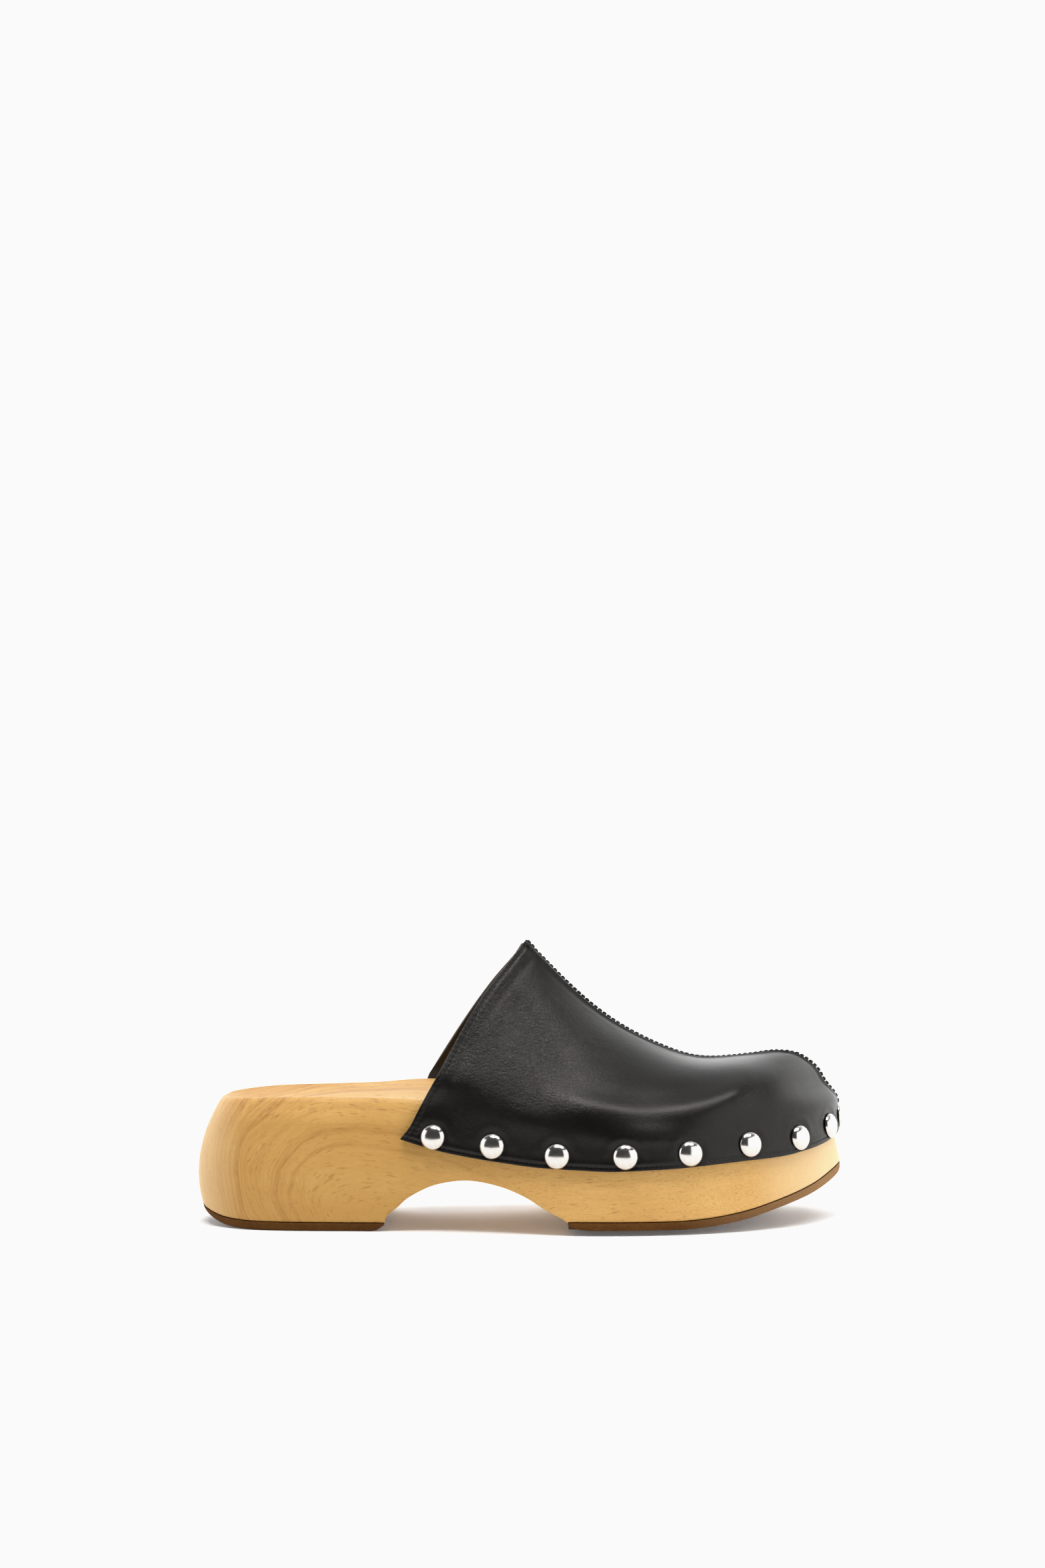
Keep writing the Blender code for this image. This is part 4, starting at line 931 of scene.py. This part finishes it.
FINE = ((300, 190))
OUTER = {}
for side, word in ((LAT, "lateral"), (MED, "medial")):
    grid, n = leather_half(side, *FINE, 0.0, SEAM_HALF, OUTER_T, 0.0, True)
    OUTER[side] = (grid, n)
    skin("upper_leather_" + word, side, grid, n, OUTER_T, LEATHER, ("upper_" + word,))
    grid, n = leather_half(side, 120, 80, OUTER_T + LAYER_GAP, 0.5, OUTER_T + LAYER_GAP + LINING_T, 0.8, False)
    skin("lining_leather_" + word, side, grid, n, LINING_T, LINING, ("lining_" + word,), lip=0.25)


# ------------------------------------------------------------------ stitches
def bead(radius, length, sides=8, rings=7):
    """A closed capsule along X, round ended."""
    pts, faces = [(-length / 2, 0, 0)], []
    for k in range(1, rings):
        a = math.pi * k / rings
        x = -math.cos(a)
        r = math.sin(a) ** 0.62 * radius
        for q in range(sides):
            b = 2 * math.pi * q / sides
            pts.append((x * length / 2, r * math.cos(b), r * math.sin(b)))
    pts.append((length / 2, 0, 0))
    for q in range(sides):
        faces.append((0, 1 + (q + 1) % sides, 1 + q))
        for k in range(rings - 2):
            a, b = 1 + k * sides + q, 1 + k * sides + (q + 1) % sides
            faces.append((a, b, b + sides, a + sides))
        last = 1 + (rings - 2) * sides
        faces.append((len(pts) - 1, last + q, last + (q + 1) % sides))
    return np.array(pts), faces


def stitches(name, path, normals, pitch, radius, length, slant, sink, replaces, skip=None, lift_ends=0.0):
    """One bead a stitch along the path, turned by slant off its direction."""
    chord = np.concatenate([[0], np.cumsum(np.linalg.norm(np.diff(path, axis=0), axis=1))])
    count = int(chord[-1] / pitch)
    at = (np.arange(count) + 0.5) * chord[-1] / count
    unit, unit_faces = bead(radius, length)
    verts, faces = [], []
    for k, s in enumerate(at):
        p = np.array([np.interp(s, chord, path[:, c]) for c in range(3)])
        if skip is not None and skip(p):
            continue
        ahead = np.array([np.interp(s + 0.6, chord, path[:, c]) for c in range(3)])
        behind = np.array([np.interp(s - 0.6, chord, path[:, c]) for c in range(3)])
        nn = np.array([np.interp(s, chord, normals[:, c]) for c in range(3)])
        x = ahead - behind
        x /= np.linalg.norm(x)
        nn = nn - x * (nn @ x)
        nn /= np.linalg.norm(nn)
        y = np.cross(nn, x)
        jitter = 0.06 * math.sin(k * 2.399 + radius * 10)
        c, sn = math.cos(slant + jitter), math.sin(slant + jitter)
        frame_m = np.stack([x * c + y * sn, y * c - x * sn, nn], axis=0)
        base = sum(len(v) for v in verts)
        verts.append(unit @ frame_m + p - nn * sink)
        faces += [tuple(v + base for v in f) for f in unit_faces]
    return piece(name, np.vstack(verts), faces, THREAD, replaces)


def row_at(side, distance):
    """The line at a distance inside the hem and its normals."""
    grid, n = OUTER[side]
    hem = run_of(grid, 1)
    path, normals = [], []
    for i in range(grid.shape[0]):
        w = [np.interp(distance, hem[i], grid[i, :, c]) for c in range(3)]
        m = [np.interp(distance, hem[i], n[i, :, c]) for c in range(3)]
        path.append(w)
        normals.append(m)
    return np.array(path), np.array(normals)


def mouth_row(side, distance):
    grid, n = OUTER[side]
    mouth = run_of(grid, 0)
    path, normals = [], []
    for j in range(grid.shape[1]):
        path.append([np.interp(distance, mouth[:, j], grid[:, j, c]) for c in range(3)])
        normals.append([np.interp(distance, mouth[:, j], n[:, j, c]) for c in range(3)])
    return np.array(path), np.array(normals)


HEADS = {side: [wall(side, x, z, STACK) for x, z in STUDS] for side in (LAT, MED)}
TOE_HEAD = wall(LAT, TOE_TIP, TOE_STUD_Z, STACK)
for side, word in ((LAT, "lateral"), (MED, "medial")):
    def under_head(p, side=side):
        return min(np.linalg.norm(p - h) for h in [*HEADS[side], TOE_HEAD]) < 4.6
    path, normals = row_at(side, 1.35)
    stitches("hem_stitches_" + word, path, normals, 1.95, 0.24, 1.55, 0.25, 0.02, ("edge_thread_" + word,), under_head)
    path, normals = mouth_row(side, 1.35)
    keep = slice(2, -2)
    stitches("topline_stitches_" + word, path[keep], normals[keep], 2.2, 0.27, 1.75, -0.42 if side == LAT else 0.42, 0.0, ("topline_thread_" + word,))

crown = (OUTER[LAT][0][:, -1] + OUTER[MED][0][:, -1]) / 2
nose = (OUTER[LAT][0][-1, ::-1] + OUTER[MED][0][-1, ::-1]) / 2
crown_n = OUTER[LAT][1][:, -1] + OUTER[MED][1][:, -1]
nose_n = OUTER[LAT][1][-1, ::-1] + OUTER[MED][1][-1, ::-1]
valley = np.vstack([crown[:-1], nose])
valley_n = np.vstack([crown_n[:-1], nose_n])
valley_n /= np.linalg.norm(valley_n, axis=1, keepdims=True)
clear = np.linalg.norm(valley - TOE_HEAD, axis=1) > 4.8
clear &= valley[:, 2] > TOE_HEAD[2]
stitches("centre_seam_stitches", valley[clear][1:], valley_n[clear][1:], 2.2, 0.60, 2.3, 0.62, -0.34, ("centre_seam_thread",))


# --------------------------------------------------------------------- nails
def nail_mesh():
    dome = []
    for a in np.linspace(0, 1, 16):
        r = 5.0 * math.sin(a * 1.47) / math.sin(1.47)
        z = STUD_H * (1 - (r / 5.0) ** 2.35) ** 0.62
        dome.append((r, z + 0.12))
    profile = dome + [(5.0, 0.02), (4.86, -0.10), (4.4, -0.12), (1.0, -0.12), (0.9, -0.5), (0.9, -SHANK_L + 2.2), (0.5, -SHANK_L + 1.0), (0.0, -SHANK_L)]
    sides = 56
    verts, faces = [], []
    for r, z in profile:
        for q in range(sides):
            b = 2 * math.pi * q / sides
            verts.append((r * math.cos(b), r * math.sin(b), z))
    for k in range(len(profile) - 1):
        for q in range(sides):
            a, b = k * sides + q, k * sides + (q + 1) % sides
            faces.append((a, a + sides, b + sides, b))
    mesh = bpy.data.meshes.new("nail")
    mesh.from_pydata((np.array(verts) * MM).tolist(), [], faces)
    bm = bmesh.new()
    bm.from_mesh(mesh)
    bmesh.ops.remove_doubles(bm, verts=bm.verts, dist=1e-7)
    bmesh.ops.recalc_face_normals(bm, faces=bm.faces)
    bm.to_mesh(mesh)
    bm.free()
    mesh.polygons.foreach_set("use_smooth", [True] * len(mesh.polygons))
    mesh.materials.append(METAL)
    return mesh


nail = nail_mesh()
places = [(wall(side, x, z, STACK + 0.12), wall_normal(side, x, z)) for side in (LAT, MED) for x, z in STUDS]
places.append((wall(LAT, TOE_TIP, TOE_STUD_Z, STACK + 0.12), wall_normal(LAT, TOE_TIP, TOE_STUD_Z)))
for number, (point, normal) in enumerate(places, 1):
    obj = bpy.data.objects.new(f"nail_{number:02d}", nail)
    bpy.context.scene.collection.objects.link(obj)
    lean = Vector((math.sin(number * 5.1), math.sin(number * 3.3), math.sin(number * 7.7))) * 0.02
    turn = (Vector(normal) + lean).to_track_quat("Z", "Y").to_matrix().to_4x4()
    obj.matrix_world = Matrix.Translation(Vector(((point - ORIGIN) * MM).tolist())) @ turn
    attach(obj, "root")
    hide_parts(f"stud_{number:02d}")


# --------------------------------------------------------- studio and camera
def stage_piece(name, verts, faces, glow_lo, glow_hi):
    """Pale matt studio surface; its own light rises from the front to the back."""
    n = Nodes(name)
    speck = n.noise(n.mm, 0.004, 1, 0.5)
    n.done(n.mix(speck, (0.86, 0.86, 0.86), (0.88, 0.88, 0.88)), 0.9, Specular_IOR_Level=0.05)
    n.bsdf.inputs["Emission Color"].default_value = (1, 1, 1, 1)
    n.link(n.remap(n.y, -600.0, 900.0, glow_lo, glow_hi), n.bsdf.inputs["Emission Strength"])
    mesh = bpy.data.meshes.new(name)
    mesh.from_pydata(verts, [], faces)
    mesh.polygons.foreach_set("use_smooth", [True] * len(mesh.polygons))
    mesh.materials.append(n.mat)
    obj = bpy.data.objects.new(name, mesh)
    bpy.context.scene.collection.objects.link(obj)


def studio():
    ring, rows = 64, []
    floor = [(0.0, 0.0, 0.0)]
    for k in range(ring):
        a = 2 * math.pi * k / ring
        floor.append((2.3 * math.sin(a), -2.3 * math.cos(a), 0.0))
    stage_piece("floor", floor, [(0, 1 + k, 1 + (k + 1) % ring) for k in range(ring)], *FLOOR_GLOW)
    # a curved wall round the back and both sides, open behind the camera
    verts, faces = [], []
    for k in range(61):
        a = math.radians(WALL_TURN + WALL_FROM + (360 - 2 * WALL_FROM) * k / 60)
        for q in range(8):
            b = math.pi / 2 * q / 6
            r = 2.28 if q > 6 else 2.08 + 0.2 * math.sin(b)
            z = 1.75 if q > 6 else 0.2 * (1 - math.cos(b))
            verts.append((r * math.sin(a), -r * math.cos(a), z))
    for k in range(60):
        for q in range(7):
            c = k * 8 + q
            faces.append((c, c + 8, c + 9, c + 1))
    stage_piece("wall", verts, faces, *WALL_GLOW)


FLOOR_GLOW, WALL_GLOW, WALL_FROM, WALL_TURN = (0.02, 0.2), (0.72, 0.85), 45, -14

studio()
for light_name, energy, side_tilt in (("overhead_soft", 1.9, -5), ("overhead_right", 1.0, 21)):
    sun_data = bpy.data.lights.new(light_name, "SUN")
    sun_data.energy, sun_data.angle = energy, math.radians(24)
    sun = bpy.data.objects.new(light_name, sun_data)
    sun.rotation_euler = (math.radians(16), math.radians(side_tilt), 0)
    bpy.context.scene.collection.objects.link(sun)

world = bpy.data.worlds.new("studio_dim")
world.use_nodes = True
sky = world.node_tree.nodes["Background"]
sky.inputs[0].default_value = (0.97, 0.98, 1.0, 1)
sky_coord = world.node_tree.nodes.new("ShaderNodeTexCoord")
sky_split = world.node_tree.nodes.new("ShaderNodeSeparateXYZ")
sky_map = world.node_tree.nodes.new("ShaderNodeMapRange")
for k, v in zip((1, 2, 3, 4), (-0.15, 0.5, 0.06, 1.25)):
    sky_map.inputs[k].default_value = v
world.node_tree.links.new(sky_coord.outputs["Generated"], sky_split.inputs[0])
world.node_tree.links.new(sky_split.outputs[1], sky_map.inputs[0])
world.node_tree.links.new(sky_map.outputs[0], sky.inputs[1])
bpy.context.scene.world = world

camera_data = bpy.data.cameras.new("camera")
camera_data.lens, camera_data.sensor_width, camera_data.sensor_fit = 72.17, 36.0, "AUTO"
camera = bpy.data.objects.new("camera", camera_data)
camera.location = (-ORIGIN[0] * MM, (-1273.0 - ORIGIN[1]) * MM, 0.1765)
camera.rotation_euler = (math.pi / 2, 0, 0)
bpy.context.scene.collection.objects.link(camera)
bpy.context.scene.camera = camera

view = bpy.context.scene.view_settings
view.view_transform = "Standard"
view.look = "None"
view.exposure, view.gamma = 0.0, 1.0
# paper white, a little under pure white
view.use_curve_mapping = True
curve = view.curve_mapping.curves[3]
curve.points[0].location = (0.0, 0.0)
curve.points[-1].location = (1.0, 0.957)
curve.points.new(0.88, 0.88)
for point in curve.points:
    point.handle_type = "VECTOR"
view.curve_mapping.extend = "HORIZONTAL"
view.curve_mapping.update()
